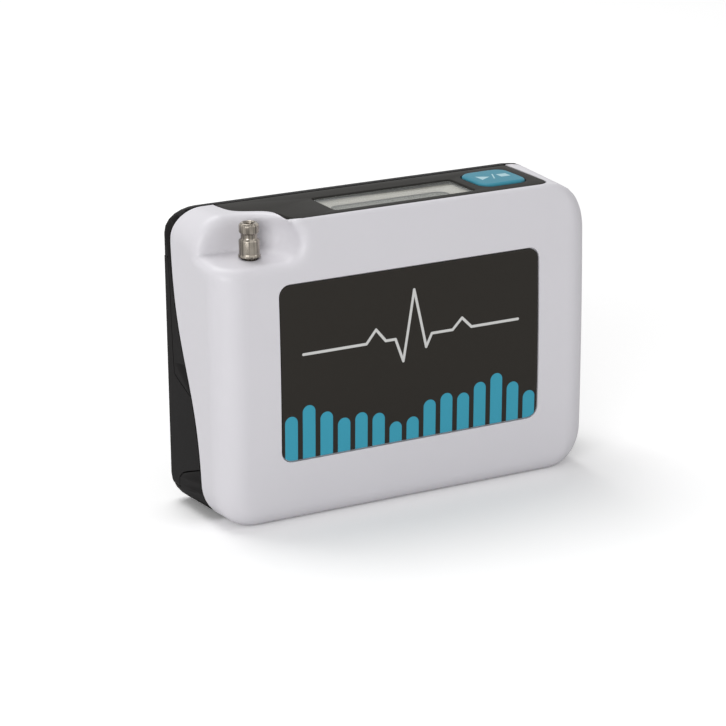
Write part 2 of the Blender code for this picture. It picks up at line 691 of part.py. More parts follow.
def case_half(hand, angle, at_front, side, front, rear, top, base):
    """Half of one ring of the case form, from the base up: the right half for hand 1, the left for -1."""
    base_corner = (FRONT_CORNER_RADIUS if at_front else REAR_CORNER_RADIUS) - side
    top_corner = base_corner
    if hand > 0:
        top_corner = (FRONT_TOP_RIGHT_RADIUS if at_front else REAR_TOP_RIGHT_RADIUS) - side
    low, high = base + base_corner, CASE_HEIGHT - top - top_corner
    half = []
    for share, normal in rim_samples():
        corner = top_corner if share else base_corner
        if at_front:
            edge = blended(normal, FRONT_SIDE_RADIUS, FRONT_TOP_RADIUS, FRONT_BASE_RADIUS) - side
        else:
            edge = blended(normal, REAR_SIDE_RADIUS, REAR_TOP_RADIUS, REAR_BASE_RADIUS) - side
        edge = min(max(edge, MIN_FILLET), corner)
        inset = edge * (1 - math.sin(angle))
        depth = edge * (1 - math.cos(angle))
        x = HALF_WIDTH - side - corner + normal.x * (corner - inset)
        z = low + (high - low) * share + normal.y * (corner - inset)
        if at_front:
            y = FRONT + front + depth + crown(z) * max(1 - depth / CROWN_FADE, 0)
        else:
            y = BACK - rear - depth
        half.append((hand * x, y, z))
    return half


def case_ring(*sizes):
    """One ring of the case form, at an angle round its front or rear edge."""
    return case_half(1, *sizes) + case_half(-1, *sizes)[::-1]


def case_form(name, side=0.0, front=0.0, rear=0.0, top=0.0, base=0.0, material=None):
    """The whole rounded case as one body, or that body set in from each face."""
    rings = [case_ring(math.pi / 2 * step / FRONT_STEPS, True, side, front, rear, top, base)
             for step in range(FRONT_STEPS + 1)]
    rings += [case_ring(math.pi / 2 * step / REAR_STEPS, False, side, front, rear, top, base)
              for step in reversed(range(REAR_STEPS + 1))]
    return loft(name, rings, material, strips=True)


def parting(height):
    """Where the white shell ends at a height, along Y."""
    swing = math.tanh((height - PARTING_HEIGHT) / PARTING_SOFTNESS)
    roll = max(height - (TOP - PARTING_ROLL_ROOM), 0) / PARTING_ROLL_ROOM
    return FRONT + PARTING_MEAN_DEPTH + PARTING_SWING * swing - PARTING_ROLL * roll ** 2


def parting_curve(low, high, shift=0.0):
    """The parting line from one height up to another, moved back by shift."""
    heights = [low + (high - low) * step / CURVE_STEPS for step in range(CURVE_STEPS + 1)]
    return [(parting(height) + shift, height) for height in heights]


def zone_before(name, shift=0.0):
    """Everything in front of the parting line."""
    line = parting_curve(-OVERRUN, TOP + OVERRUN, shift)
    outline = [(FRONT - OVERRUN, -OVERRUN)] + line + [(FRONT - OVERRUN, TOP + OVERRUN)]
    return prism(name, outline, "X", -HALF_WIDTH - OVERRUN, HALF_WIDTH + OVERRUN)


def zone_behind(name, shift=0.0):
    """Everything behind the parting line."""
    line = parting_curve(-OVERRUN, TOP + OVERRUN, shift)
    rear = BACK + DOOR_PROUD + OVERRUN
    outline = line + [(rear, TOP + OVERRUN), (rear, -OVERRUN)]
    return prism(name, outline, "X", -HALF_WIDTH - OVERRUN, HALF_WIDTH + OVERRUN)


def panel_outline(rear, grow=0.0):
    """Plan of the top panel, counter-clockwise, with its wave round the pocket."""
    front = FRONT + PANEL_FRONT_DEPTH
    corner = (PANEL_RIGHT - PANEL_CORNER_RADIUS, front + PANEL_CORNER_RADIUS)
    wave = smooth_path([(PANEL_LEFT + WAVE_WIDTH * across, front + WAVE_DEPTH * back) for across, back
                        in WAVE_SHARES],
                       2)
    outline = arc(corner, PANEL_CORNER_RADIUS, -90, 0, 4)
    outline += [(PANEL_RIGHT, rear), (PANEL_LEFT, rear)]
    outline += [tuple(point) for point in wave]
    return offset(outline, grow)


def pocket_form(name, grow=0.0):
    """The scoop for the hose connector, open to the left, the front and the top."""
    rear = POCKET_REAR + grow
    bend = POCKET_BEND_RADIUS + grow
    stations = [(FRONT - OVERRUN, 0.0)]
    for step in range(POCKET_STEPS + 1):
        angle = math.pi / 2 * step / POCKET_STEPS
        stations.append((rear - bend + bend * math.sin(angle), bend * (1 - math.cos(angle))))
    rings = []
    for y, drawn_in in stations:
        share = (y - FRONT) / POCKET_DEPTH
        radius = POCKET_FRONT_RADIUS + (POCKET_REAR_RADIUS - POCKET_FRONT_RADIUS) * share
        floor = POCKET_FRONT_FLOOR + (POCKET_REAR_FLOOR - POCKET_FRONT_FLOOR) * share
        upper = POCKET_FRONT_UPPER_RADIUS + (POCKET_REAR_UPPER_RADIUS - POCKET_FRONT_UPPER_RADIUS) * share
        edge, level = -HALF_WIDTH + POCKET_REACH - drawn_in, floor + radius
        left = -HALF_WIDTH - POCKET_BEND_RADIUS
        outline = arc((edge - upper, level), upper + grow, POCKET_LEAN, 0, POCKET_ARC_STEPS)[:-1]
        rise = TOP + OVERRUN - outline[0][1]
        outline.insert(0, (outline[0][0] - rise * math.tan(math.radians(POCKET_LEAN)), TOP + OVERRUN))
        outline += arc((edge - radius, level), radius + grow, 0, -90, POCKET_ARC_STEPS)
        outline += [(left, floor - grow), (left, TOP + OVERRUN)]
        rings.append(lifted(outline, "Y", y))
    return loft(name, rings)


def crowned_slab(name, width, height, radius, front, rear, material=None):
    """A plate that follows the curve of the front face, between two depths."""
    half = []
    for share, normal in rim_samples():
        centre = (width / 2 - radius, LABEL_CENTRE_HEIGHT + (share - 0.5) * (height - 2 * radius))
        half.append((centre[0] + normal.x * radius, centre[1] + normal.y * radius))
    outline = half + [(-x, z) for x, z in reversed(half)]
    rings = [[(x, FRONT + depth + crown(z), z) for x, z in outline] for depth in (front, rear)]
    return loft(name, rings, material, strips=True)


def column_places():
    """Each case screw: x, z, where its front boss starts and how long that boss is."""
    wall = FRONT + WALL
    return ((HALF_WIDTH - COLUMN_SIDE_ROOM, COLUMN_BASE_ROOM, wall, BOSS_LENGTH),
            (HALF_WIDTH - COLUMN_SIDE_ROOM, COLUMN_RIGHT_HEIGHT, wall, BOSS_LENGTH),
            (DOOR_RIGHT + COLUMN_MIDDLE_ROOM, COLUMN_BASE_ROOM, wall, BOSS_LENGTH),
            (-HALF_WIDTH + COLUMN_POCKET_SIDE_ROOM, COLUMN_POCKET_HEIGHT, POCKET_REAR + WALL,
             POCKET_BOSS_LENGTH))


def board_pin_places():
    """X and Z of each pin that holds the main board."""
    right = BOARD_LEFT + BOARD_WIDTH - BOARD_PIN_INSET
    return [(x, BOARD_BASE + BOARD_HEIGHT * share) for x in (BOARD_LEFT + BOARD_PIN_INSET, right)
            for share in BOARD_PIN_HEIGHT_SHARES]


def front_shell(material):
    """White front: shell, pocket, ledge for the panel, label recess, bosses and board rest."""
    shell = case_form("front_shell", material=material)
    carve(shell, pocket_form("pocket"))
    carve(shell, zone_before("cut"), "INTERSECT")
    cavity = case_form("cavity", WALL, WALL, -OVERRUN, TOP_WALL, WALL)
    carve(cavity, pocket_form("pocket_wall", WALL))
    carve(shell, cavity)
    rear = BACK + OVERRUN
    notch = panel_outline(rear, GAP)
    carve(shell, prism("notch", notch, "Z", PANEL_BASE - GAP, TOP + OVERRUN))
    ledge = prism("ledge", offset(panel_outline(rear), -PANEL_LEDGE), "Z", TOP - TOP_WALL - OVERRUN,
                  TOP + OVERRUN)
    carve(ledge, pocket_form("pocket_wall", WALL))
    carve(shell, ledge)
    recess = crowned_slab("recess", LABEL_WIDTH + 2 * GAP, LABEL_HEIGHT + 2 * GAP, LABEL_CORNER_RADIUS + GAP,
                          -OVERRUN, LABEL_RECESS)
    carve(shell, recess)
    for x, z, start, length in column_places():
        boss = turned("boss", ((COLUMN_RADIUS, start - EMBED), (COLUMN_RADIUS, start + length)),
                      at=(x, 0, z),
                      axis="Y")
        carve(shell, boss, "UNION")
        carve(shell, rod("bore", SCREW_RADIUS + GAP, start + GAP, start + length + OVERRUN, at=(x, 0, z),
                         axis="Y",
                         steps=SMALL_STEPS))
    wall = FRONT + WALL
    rest = wall + BOARD_STANDOFF
    for x, z in board_pin_places():
        profile = ((BOARD_BOSS_RADIUS, wall - EMBED), (BOARD_BOSS_RADIUS, rest), (BOARD_PIN_RADIUS, rest),
                   (BOARD_PIN_RADIUS, BOARD_BACK + BOARD_PIN_PROUD))
        carve(shell, turned("boss", profile, at=(x, 0, z), axis="Y", steps=SMALL_STEPS), "UNION")
    rest_left = WINDOW_OFFSET - WINDOW_WIDTH / 2
    carve(shell, block("board_rest", (rest_left, FRONT + WALL / 2, BOARD_REST_BASE),
                       (BUTTON_X, wall + DISPLAY_BOARD_FRONT_ROOM * 2 + GAP, DISPLAY_BOARD_BASE - GAP)),
                       "UNION")
    carve(shell, rod("spot_face", NIPPLE_SEAT_RADIUS, POCKET_FLOOR_AT_NIPPLE, POCKET_FLOOR_AT_NIPPLE + WALL,
                     at=(NIPPLE_X, NIPPLE_Y, 0)))
    seat = rod("seat", NIPPLE_SEAT_RADIUS + EMBED, POCKET_FLOOR_AT_NIPPLE - WALL / 2, POCKET_FLOOR_AT_NIPPLE,
               at=(NIPPLE_X, NIPPLE_Y, 0))
    carve(shell, seat, "UNION")
    hole = rod("hole", NIPPLE_SHANK_RADIUS + GAP, POCKET_FLOOR_AT_NIPPLE - WALL - OVERRUN,
               POCKET_FLOOR_AT_NIPPLE + OVERRUN, at=(NIPPLE_X, NIPPLE_Y, 0), steps=SMALL_STEPS)
    carve(shell, hole)
    y, z = port_centre()
    opening = rounded((y, z), PORT_HEIGHT + 2 * GAP, PORT_WIDTH + 2 * GAP, PORT_WALL + GAP, 2)
    carve(shell, prism("opening", opening, "X", HALF_WIDTH - WALL - OVERRUN, HALF_WIDTH + OVERRUN))
    return shell


def door_seam(grow=0.0):
    """Outline of the door seen from the left, counter-clockwise in Y and Z."""
    rear = BACK + DOOR_PROUD + OVERRUN
    lower = [(FRONT + CASE_DEPTH * y, DOOR_BASE + DOOR_HEIGHT * z) for y, z in DOOR_LOWER_SEAM_SHARES]
    upper = [(FRONT + CASE_DEPTH * y, DOOR_BASE + DOOR_HEIGHT * z) for y, z in DOOR_UPPER_SEAM_SHARES]
    return offset(lower + [(rear, DOOR_BASE), (rear, DOOR_TOP)] + upper, grow)


def door_zone(name, grow=0.0):
    """The space that the door takes behind the parting line, with its seam all round when grown."""
    right = DOOR_RIGHT + grow
    left = -HALF_WIDTH - OVERRUN
    rear = BACK + DOOR_PROUD + OVERRUN
    zone = prism(name, door_seam(grow), "X", left, right)
    carve(zone, block("plate", (-HALF_WIDTH + DOOR_SIDE_LIP - grow, DOOR_INNER - grow, DOOR_BASE - grow),
                      (right, rear, DOOR_TOP + grow)), "UNION")
    height = DOOR_HEIGHT + 2 * grow
    middle = DOOR_BASE + DOOR_HEIGHT / 2
    width = right - left + HALF_WIDTH
    plate = rounded((right - width / 2, middle), width, height, DOOR_CORNER_RADIUS)
    carve(zone, prism("plate", plate, "Y", FRONT - OVERRUN, rear + OVERRUN), "INTERSECT")
    return carve(zone, zone_behind("cut", REVEAL - grow), "INTERSECT")


def tab_blocks(grow=0.0):
    """Tabs on the door's right edge that hook under the back of the case, or their rebates when grown."""
    blocks = []
    for share in TAB_SHARES:
        z = DOOR_BASE + DOOR_HEIGHT * share
        blocks.append(block("tab", (DOOR_RIGHT - EMBED, DOOR_INNER - grow, z - TAB_HEIGHT / 2 - grow),
                            (DOOR_RIGHT + TAB_REACH + grow, DOOR_INNER + TAB_THICKNESS + grow,
                             z + TAB_HEIGHT / 2 + grow)))
    return blocks


def battery_door(material, holder):
    """Dark cover of the battery bay: a back plate with a flange round the side, hooked at its right edge."""
    door = case_form("battery_door", rear=-DOOR_PROUD, material=material)
    carve(door, door_zone("zone"), "INTERSECT")
    carve(door, case_form("cavity", REAR_INSET, -OVERRUN, REAR_WALL, REAR_TOP_INSET, -OVERRUN))
    for tab in tab_blocks():
        carve(door, tab, "UNION")
    for vertex in door.data.vertices:
        vertex.co -= holder.location
    door.parent = holder
    return door


def bay_walls():
    """Walls of the battery bay that the rear shell carries, cut back where the door rests."""
    left = -HALF_WIDTH + BAY_INSET
    base, roof = BAY_INSET, BAY_TOP + BAY_WALL
    front, back = BAY_FRONT - BAY_FRONT_WALL, INNER_BACK + EMBED
    walls = [block("bay_front", (left, front, base), (BAY_WALL_RIGHT, BAY_FRONT, roof)),
             block("bay_right", (BAY_RIGHT, front, base), (BAY_WALL_RIGHT, back, roof)),
             block("bay_top", (left, front, BAY_TOP), (BAY_WALL_RIGHT, back, roof))]
    bay = walls[0]
    for wall in walls[1:]:
        carve(bay, wall, "UNION")
    carve(bay, block("door_room", (left - OVERRUN, BAY_BACK, DOOR_BASE - DOOR_SEAM),
                     (DOOR_RIGHT + DOOR_SEAM, back + OVERRUN, DOOR_TOP + DOOR_SEAM)))
    carve(bay, pocket_form("pocket_room", WALL + GAP))
    return carve(bay, case_form("limits", BAY_INSET, WALL, REAR_WALL / 2, TOP_WALL, BAY_INSET), "INTERSECT")


def bay_side():
    """Left wall of the bay, inside the white shell and joined to the dark one along the parting line."""
    left = -HALF_WIDTH + BAY_INSET
    low, high = BAY_INSET, BAY_TOP + BAY_WALL
    outline = parting_curve(low, high, REVEAL + EMBED) + [(BAY_FRONT - BAY_FRONT_WALL, high),
                                                          (BAY_FRONT - BAY_FRONT_WALL, low)]
    side = prism("bay_side", outline, "X", left, BAY_LEFT)
    carve(side, pocket_form("pocket_room", WALL + GAP))
    return carve(side, case_form("limits", BAY_INSET, WALL, REAR_WALL / 2, TOP_WALL, BAY_INSET), "INTERSECT")


def rear_shell(material):
    """Dark back: shell with a lip inside the white one, battery bay, columns, shelves and label recess."""
    shell = case_form("rear_shell", material=material)
    zone = zone_behind("cut", REVEAL)
    for inset, base in ((0, PANEL_BASE), (PANEL_LEDGE + GAP, TOP - REAR_TOP_INSET - EMBED)):
        carve(zone, block("rim", (PANEL_LEFT + inset, FRONT + PANEL_REAR_DEPTH, base),
                          (PANEL_RIGHT - inset, BACK + OVERRUN, TOP + 2 * OVERRUN)), "UNION")
    carve(shell, zone, "INTERSECT")
    lip = case_form("lip", WALL + GAP, WALL + GAP, REAR_WALL / 2, TOP_WALL + GAP, WALL + GAP)
    carve(lip, zone_behind("cut", -LIP_REACH), "INTERSECT")
    carve(shell, lip, "UNION")
    carve(shell, case_form("cavity", REAR_INSET, -OVERRUN, REAR_WALL, REAR_TOP_INSET, REAR_INSET))
    for x, z, start, length in column_places():
        carve(shell, rod("column", COLUMN_RADIUS, start + length + GAP, INNER_BACK + EMBED, at=(x, 0, z),
                         axis="Y"),
              "UNION", "MANIFOLD")
    carve(shell, bay_side(), "UNION")
    carve(shell, door_zone("door", DOOR_SEAM))
    carve(shell, bay_walls(), "UNION")
    for rebate in tab_blocks(GAP):
        carve(shell, rebate)
    for x, z, start, length in column_places():
        foot = start + length + GAP
        carve(shell, rod("counterbore", SCREW_HEAD_RADIUS + GAP, foot + SCREW_WEB, BACK + OVERRUN,
                         at=(x, 0, z),
                         axis="Y"), solver="MANIFOLD")
        carve(shell, rod("hole", SCREW_RADIUS + GAP, foot - OVERRUN, foot + SCREW_WEB + OVERRUN,
                         at=(x, 0, z),
                         axis="Y", steps=SMALL_STEPS), solver="MANIFOLD")
    shelf_left, shelf_right = VALVE_XS[0] - VALVE_WIDTH / 2, VALVE_XS[1] + VALVE_WIDTH / 2
    shelf_top = VALVE_BASE - GAP
    carve(shell, block("valve_shelf", (shelf_left, VALVE_Y - VALVE_DEPTH / 4, shelf_top - SHELF_THICKNESS),
                       (shelf_right, INNER_BACK + EMBED, shelf_top)), "UNION")
    board_rear = FRONT + WALL + DISPLAY_BOARD_FRONT_ROOM + DISPLAY_BOARD_DEPTH
    for x in (WINDOW_OFFSET, BUTTON_X):
        rest = block("board_rest", (x - SHELF_THICKNESS / 2, board_rear - SHELF_THICKNESS, BOARD_REST_BASE),
                     (x + SHELF_THICKNESS / 2, INNER_BACK + EMBED, DISPLAY_BOARD_BASE - GAP))
        carve(shell, rest, "UNION")
    recess = rounded((RATING_CENTRE_OFFSET, RATING_CENTRE_HEIGHT), RATING_WIDTH + 2 * GAP,
                     RATING_HEIGHT + 2 * GAP,
                     RATING_CORNER_RADIUS + GAP)
    carve(shell, prism("recess", recess, "Y", BACK - RATING_RECESS, BACK + OVERRUN))
    return shell


def rating_label(material):
    """Blank label in its recess on the back."""
    outline = rounded((RATING_CENTRE_OFFSET, RATING_CENTRE_HEIGHT), RATING_WIDTH, RATING_HEIGHT,
                      RATING_CORNER_RADIUS)
    face = BACK - RATING_RECESS + GAP
    return prism("rating_label", outline, "Y", face, face + RATING_THICKNESS, material)


def top_panel(material):
    """Dark plate of the top, with the window and the button's opening."""
    panel = prism("top_panel", panel_outline(FRONT + PANEL_REAR_DEPTH - GAP), "Z", PANEL_BASE, TOP, material)
    window = rounded((WINDOW_OFFSET, WINDOW_CENTRE_Y), WINDOW_WIDTH, WINDOW_DEPTH, WINDOW_CORNER_RADIUS)
    carve(panel, prism("window", window, "Z", PANEL_BASE - OVERRUN, TOP + OVERRUN))
    opening = rounded((BUTTON_X, BUTTON_Y), BUTTON_WIDTH + 2 * GAP, BUTTON_DEPTH + 2 * GAP,
                      BUTTON_CORNER_RADIUS + GAP)
    return carve(panel, prism("opening", opening, "Z", PANEL_BASE - OVERRUN, TOP + OVERRUN))


def front_label(material):
    """Overlay in the recess of the front."""
    return crowned_slab("front_label", LABEL_WIDTH, LABEL_HEIGHT, LABEL_CORNER_RADIUS, LABEL_SUNK,
                        LABEL_SUNK + LABEL_THICKNESS, material)


# Display and button


def window_outline(width, depth, radius):
    """A rounded rectangle about the window's centre."""
    return rounded((WINDOW_OFFSET, WINDOW_CENTRE_Y), width, depth, radius)


def display_parts(clear, pale, glass, rubber, board, copper):
    """Lens, sloping frame, display glass, contact strips, board and ribbon."""
    prism("display_lens", window_outline(WINDOW_WIDTH - 2 * GAP, WINDOW_DEPTH - 2 * GAP,
                                         WINDOW_CORNER_RADIUS), "Z",
          LENS_BASE, LENS_BASE + LENS_THICKNESS, clear)
    frame_width, frame_depth = WINDOW_WIDTH + 2 * FRAME_FLANGE, WINDOW_DEPTH + 2 * FRAME_FLANGE
    glass_width, glass_depth = WINDOW_WIDTH - 2 * GLASS_MARGIN, WINDOW_DEPTH - GLASS_MARGIN
    frame = prism("display_frame", window_outline(frame_width, frame_depth, WINDOW_CORNER_RADIUS), "Z",
                  FRAME_BASE,
                  FRAME_TOP, pale)
    room = window_outline(glass_width + 2 * GAP, glass_depth + 2 * GAP, WINDOW_CORNER_RADIUS)
    carve(frame, prism("room", room, "Z", FRAME_BASE - OVERRUN, GLASS_TOP + GAP))
    mouth = window_outline(WINDOW_WIDTH - 2 * GAP, WINDOW_DEPTH - 2 * GAP, WINDOW_CORNER_RADIUS)
    inner = window_outline(WINDOW_WIDTH - 2 * FRAME_SLOPE_WIDTH, WINDOW_DEPTH - 2 * FRAME_SLOPE_DEPTH,
                           WINDOW_CORNER_RADIUS)
    slope_base = FRAME_TOP - FRAME_SLOPE_HEIGHT
    carve(frame, loft("slope", [lifted(inner, "Z", slope_base - EMBED), lifted(inner, "Z", slope_base),
                                lifted(mouth, "Z", FRAME_TOP), lifted(mouth, "Z", FRAME_TOP + OVERRUN)]))
    prism("lcd_glass", window_outline(glass_width, glass_depth, GAP), "Z", GLASS_BASE, GLASS_TOP, glass)
    y = WINDOW_CENTRE_Y + (glass_depth - ZEBRA_WIDTH) / 2
    reach = glass_width / 2 - WINDOW_CORNER_RADIUS
    block("contact_strip", (WINDOW_OFFSET - reach, y - ZEBRA_WIDTH / 2, ZEBRA_BASE),
          (WINDOW_OFFSET + reach, y + ZEBRA_WIDTH / 2, ZEBRA_TOP), rubber)
    front = FRONT + WALL + DISPLAY_BOARD_FRONT_ROOM
    left = WINDOW_OFFSET - WINDOW_WIDTH / 2 - DISPLAY_BOARD_LEFT
    block("display_board", (left, front, DISPLAY_BOARD_BASE),
          (INNER_RIGHT - DISPLAY_BOARD_SIDE_ROOM, front + DISPLAY_BOARD_DEPTH, DISPLAY_BOARD_TOP), board)
    face = BOARD_BACK + GAP
    block("display_ribbon", (RIBBON_OFFSET - RIBBON_WIDTH / 2, face, BOARD_BASE + BOARD_HEIGHT - RIBBON_LAP),
          (RIBBON_OFFSET + RIBBON_WIDTH / 2, face + RIBBON_THICKNESS, DISPLAY_BOARD_BASE - GAP), copper)


def button_parts(teal, black, steel):
    """Key with its flange and post, switch body and the stem between them."""
    at = (BUTTON_X, BUTTON_Y, 0)
    levels = ((BUTTON_FLANGE_TOP - BUTTON_FLANGE_THICKNESS, BUTTON_FLANGE),
              (BUTTON_FLANGE_TOP, BUTTON_FLANGE),
              (BUTTON_FLANGE_TOP, 0.0), (TOP + BUTTON_PROUD - BUTTON_EDGE, 0.0),
              (TOP + BUTTON_PROUD - BUTTON_EDGE / 4, -BUTTON_EDGE / 3), (TOP + BUTTON_PROUD, -BUTTON_EDGE),
              (TOP + BUTTON_PROUD + BUTTON_CROWN, -BUTTON_CORNER_RADIUS + BUTTON_EDGE))
    rings = [lifted(rounded((0, 0), BUTTON_WIDTH + 2 * grow, BUTTON_DEPTH + 2 * grow,
                            BUTTON_CORNER_RADIUS + grow, 5),
                    "Z", level) for level, grow in levels]
    key = loft("start_stop_button", rings, teal, at)
    post = rod("post", BUTTON_POST_RADIUS, STEM_TOP + GAP, BUTTON_FLANGE_TOP, at=at, steps=SMALL_STEPS)
    carve(key, post, "UNION")
    rod("switch_stem", STEM_RADIUS, STEM_TOP - STEM_LENGTH, STEM_TOP, black, at, steps=SMALL_STEPS)
    half = SWITCH_SIDE / 2
    switch = block("push_switch", (BUTTON_X - half, BUTTON_Y - half, SWITCH_BASE),
                   (BUTTON_X + half, BUTTON_Y + half, SWITCH_TOP), steel)
    carve(switch, rod("bore", STEM_RADIUS + GAP, SWITCH_BASE + GAP, SWITCH_TOP + OVERRUN, at=at,
                      steps=SMALL_STEPS))


# Pneumatics


def nipple_parts(nickel, rubber):
    """Bored quick connector with its barb, and the seal and nut under the pocket's floor."""
    at = (NIPPLE_X, NIPPLE_Y, 0)
    body_top = NIPPLE_BASE + NIPPLE_FLANGE_HEIGHT + NIPPLE_BODY_HEIGHT
    neck_top = body_top + NIPPLE_NECK_HEIGHT
    head_top = neck_top + NIPPLE_HEAD_HEIGHT
    flange_top = NIPPLE_BASE + NIPPLE_FLANGE_HEIGHT
    seal_top = POCKET_FLOOR_AT_NIPPLE - WALL - 2 * GAP
    nut_top = seal_top - SEAL_HEIGHT - GAP
    shank_base = nut_top - NUT_HEIGHT - GAP
    profile = [(NIPPLE_FLANGE_RADIUS, NIPPLE_BASE), (NIPPLE_FLANGE_RADIUS, flange_top),
               (NIPPLE_BODY_RADIUS, flange_top), (NIPPLE_BODY_RADIUS, body_top - NIPPLE_CHAMFER),
               (NIPPLE_NECK_RADIUS, body_top), (NIPPLE_NECK_RADIUS, neck_top - NIPPLE_CHAMFER),
               (NIPPLE_HEAD_RADIUS, neck_top), (NIPPLE_HEAD_RADIUS, head_top - NIPPLE_CHAMFER),
               (NIPPLE_HEAD_RADIUS - NIPPLE_CHAMFER, head_top),
               (NIPPLE_BORE_RADIUS + NIPPLE_CHAMFER, head_top),
               (NIPPLE_BORE_RADIUS, head_top - NIPPLE_CHAMFER), (NIPPLE_BORE_RADIUS, NIPPLE_BASE),
               (BARB_BORE_RADIUS, NIPPLE_BASE - NIPPLE_BORE_RADIUS),
               (BARB_BORE_RADIUS, shank_base - BARB_LENGTH),
               (BARB_RADIUS, shank_base - BARB_LENGTH), (BARB_RADIUS, shank_base),
               (NIPPLE_SHANK_RADIUS, shank_base), (NIPPLE_SHANK_RADIUS, NIPPLE_BASE)]
    turned("hose_nipple", profile, nickel, at, bored=True)
    turned("nipple_seal", ((SEAL_RADIUS, seal_top), (NIPPLE_SHANK_RADIUS + GAP, seal_top),
                           (NIPPLE_SHANK_RADIUS + GAP, seal_top - SEAL_HEIGHT),
                           (SEAL_RADIUS, seal_top - SEAL_HEIGHT)),
           rubber, at, bored=True)
    nut = rod("nipple_nut", NUT_RADIUS, nut_top - NUT_HEIGHT, nut_top, nickel, at, steps=6)
    carve(nut, rod("bore", NIPPLE_SHANK_RADIUS + GAP, nut_top - NUT_HEIGHT - OVERRUN, nut_top + OVERRUN,
                   at=at,
                   steps=SMALL_STEPS))
    return shank_base


def manifold(material):
    """Block that joins the hoses, the valves and the sensors."""
    low = (MANIFOLD_LEFT, MANIFOLD_FRONT, MANIFOLD_BASE)
    high = (MANIFOLD_RIGHT, MANIFOLD_FRONT + MANIFOLD_DEPTH, MANIFOLD_TOP)
    body = block("air_manifold", low, high, material)
    for x in VALVE_XS:
        carve(body, rod("socket", NOZZLE_RADIUS + GAP, MANIFOLD_BASE - OVERRUN,
                        MANIFOLD_BASE + NOZZLE_LENGTH,
                        at=(x, VALVE_Y, 0), steps=SMALL_STEPS))
    for x in SENSOR_XS:
        carve(body, rod("socket", NOZZLE_RADIUS + GAP, MANIFOLD_FRONT - OVERRUN, SENSOR_TIP + GAP,
                        at=(x, 0, MANIFOLD_Z), axis="Y", steps=SMALL_STEPS))
    y = hose_entry()
    for low_x, high_x, port_y in ((MANIFOLD_LEFT - SPIGOT_LENGTH, MANIFOLD_LEFT + EMBED, y),
                                  (MANIFOLD_RIGHT - EMBED, MANIFOLD_RIGHT + PUMP_SPIGOT_LENGTH, PUMP_Y)):
        carve(body, rod("spigot", SPIGOT_RADIUS, low_x, high_x, at=(0, port_y, MANIFOLD_Z), axis="X",
                        steps=SMALL_STEPS), "UNION")
        carve(body, rod("bore", NOZZLE_BORE_RADIUS, low_x - OVERRUN, high_x + OVERRUN,
                        at=(0, port_y, MANIFOLD_Z),
                        axis="X", steps=SMALL_STEPS))
    return body


def hose_entry():
    """Y of the spigot that takes the cuff hose."""
    return MANIFOLD_FRONT + HOSE_RADIUS + GAP


def hoses(material, shank_base):
    """Hose from the nipple to the manifold, and the short one from the pump."""
    run_y = (BOARD_BACK + BAY_FRONT - BAY_FRONT_WALL) / 2
    start = shank_base - GAP
    nodes = [(NIPPLE_X, NIPPLE_Y, start), (NIPPLE_X, NIPPLE_Y, start - BARB_LENGTH),
             (NIPPLE_X + HOSE_RADIUS, (NIPPLE_Y + run_y) / 2, MANIFOLD_Z + HOSE_DROP / 4),
             (NIPPLE_X + HOSE_DROP, run_y, MANIFOLD_Z), (BAY_WALL_RIGHT, run_y, MANIFOLD_Z),
             (MANIFOLD_LEFT - GAP - 2 * SPIGOT_LENGTH, hose_entry(), MANIFOLD_Z),
             (MANIFOLD_LEFT - GAP - SPIGOT_LENGTH, hose_entry(), MANIFOLD_Z),
             (MANIFOLD_LEFT - GAP, hose_entry(), MANIFOLD_Z)]
    hose("cuff_hose", smooth_path(nodes, HOSE_STEPS), material)
    left, right = MANIFOLD_RIGHT + GAP, PUMP_X - PUMP_RADIUS - GAP
    hose("pump_hose", [Vector((x, PUMP_Y, MANIFOLD_Z)) for x in (left, (left + right) / 2, right)], material)


def sensors(material):
    """Two pressure sensors with their nozzles in the manifold."""
    for name, x in zip(("cuff_pressure_sensor", "check_pressure_sensor"), SENSOR_XS):
        half = SENSOR_SIDE / 2
        body = block(name, (x - half, ON_BOARD, MANIFOLD_Z - half),
                     (x + half, SENSOR_FACE, MANIFOLD_Z + half),
                     material)
        carve(body, rod("nozzle", NOZZLE_RADIUS, SENSOR_FACE - EMBED, SENSOR_TIP, at=(x, 0, MANIFOLD_Z),
                        axis="Y",
                        steps=SMALL_STEPS), "UNION")
        carve(body, rod("bore", NOZZLE_BORE_RADIUS, SENSOR_FACE, SENSOR_TIP + OVERRUN, at=(x, 0, MANIFOLD_Z),
                        axis="Y", steps=SMALL_STEPS))


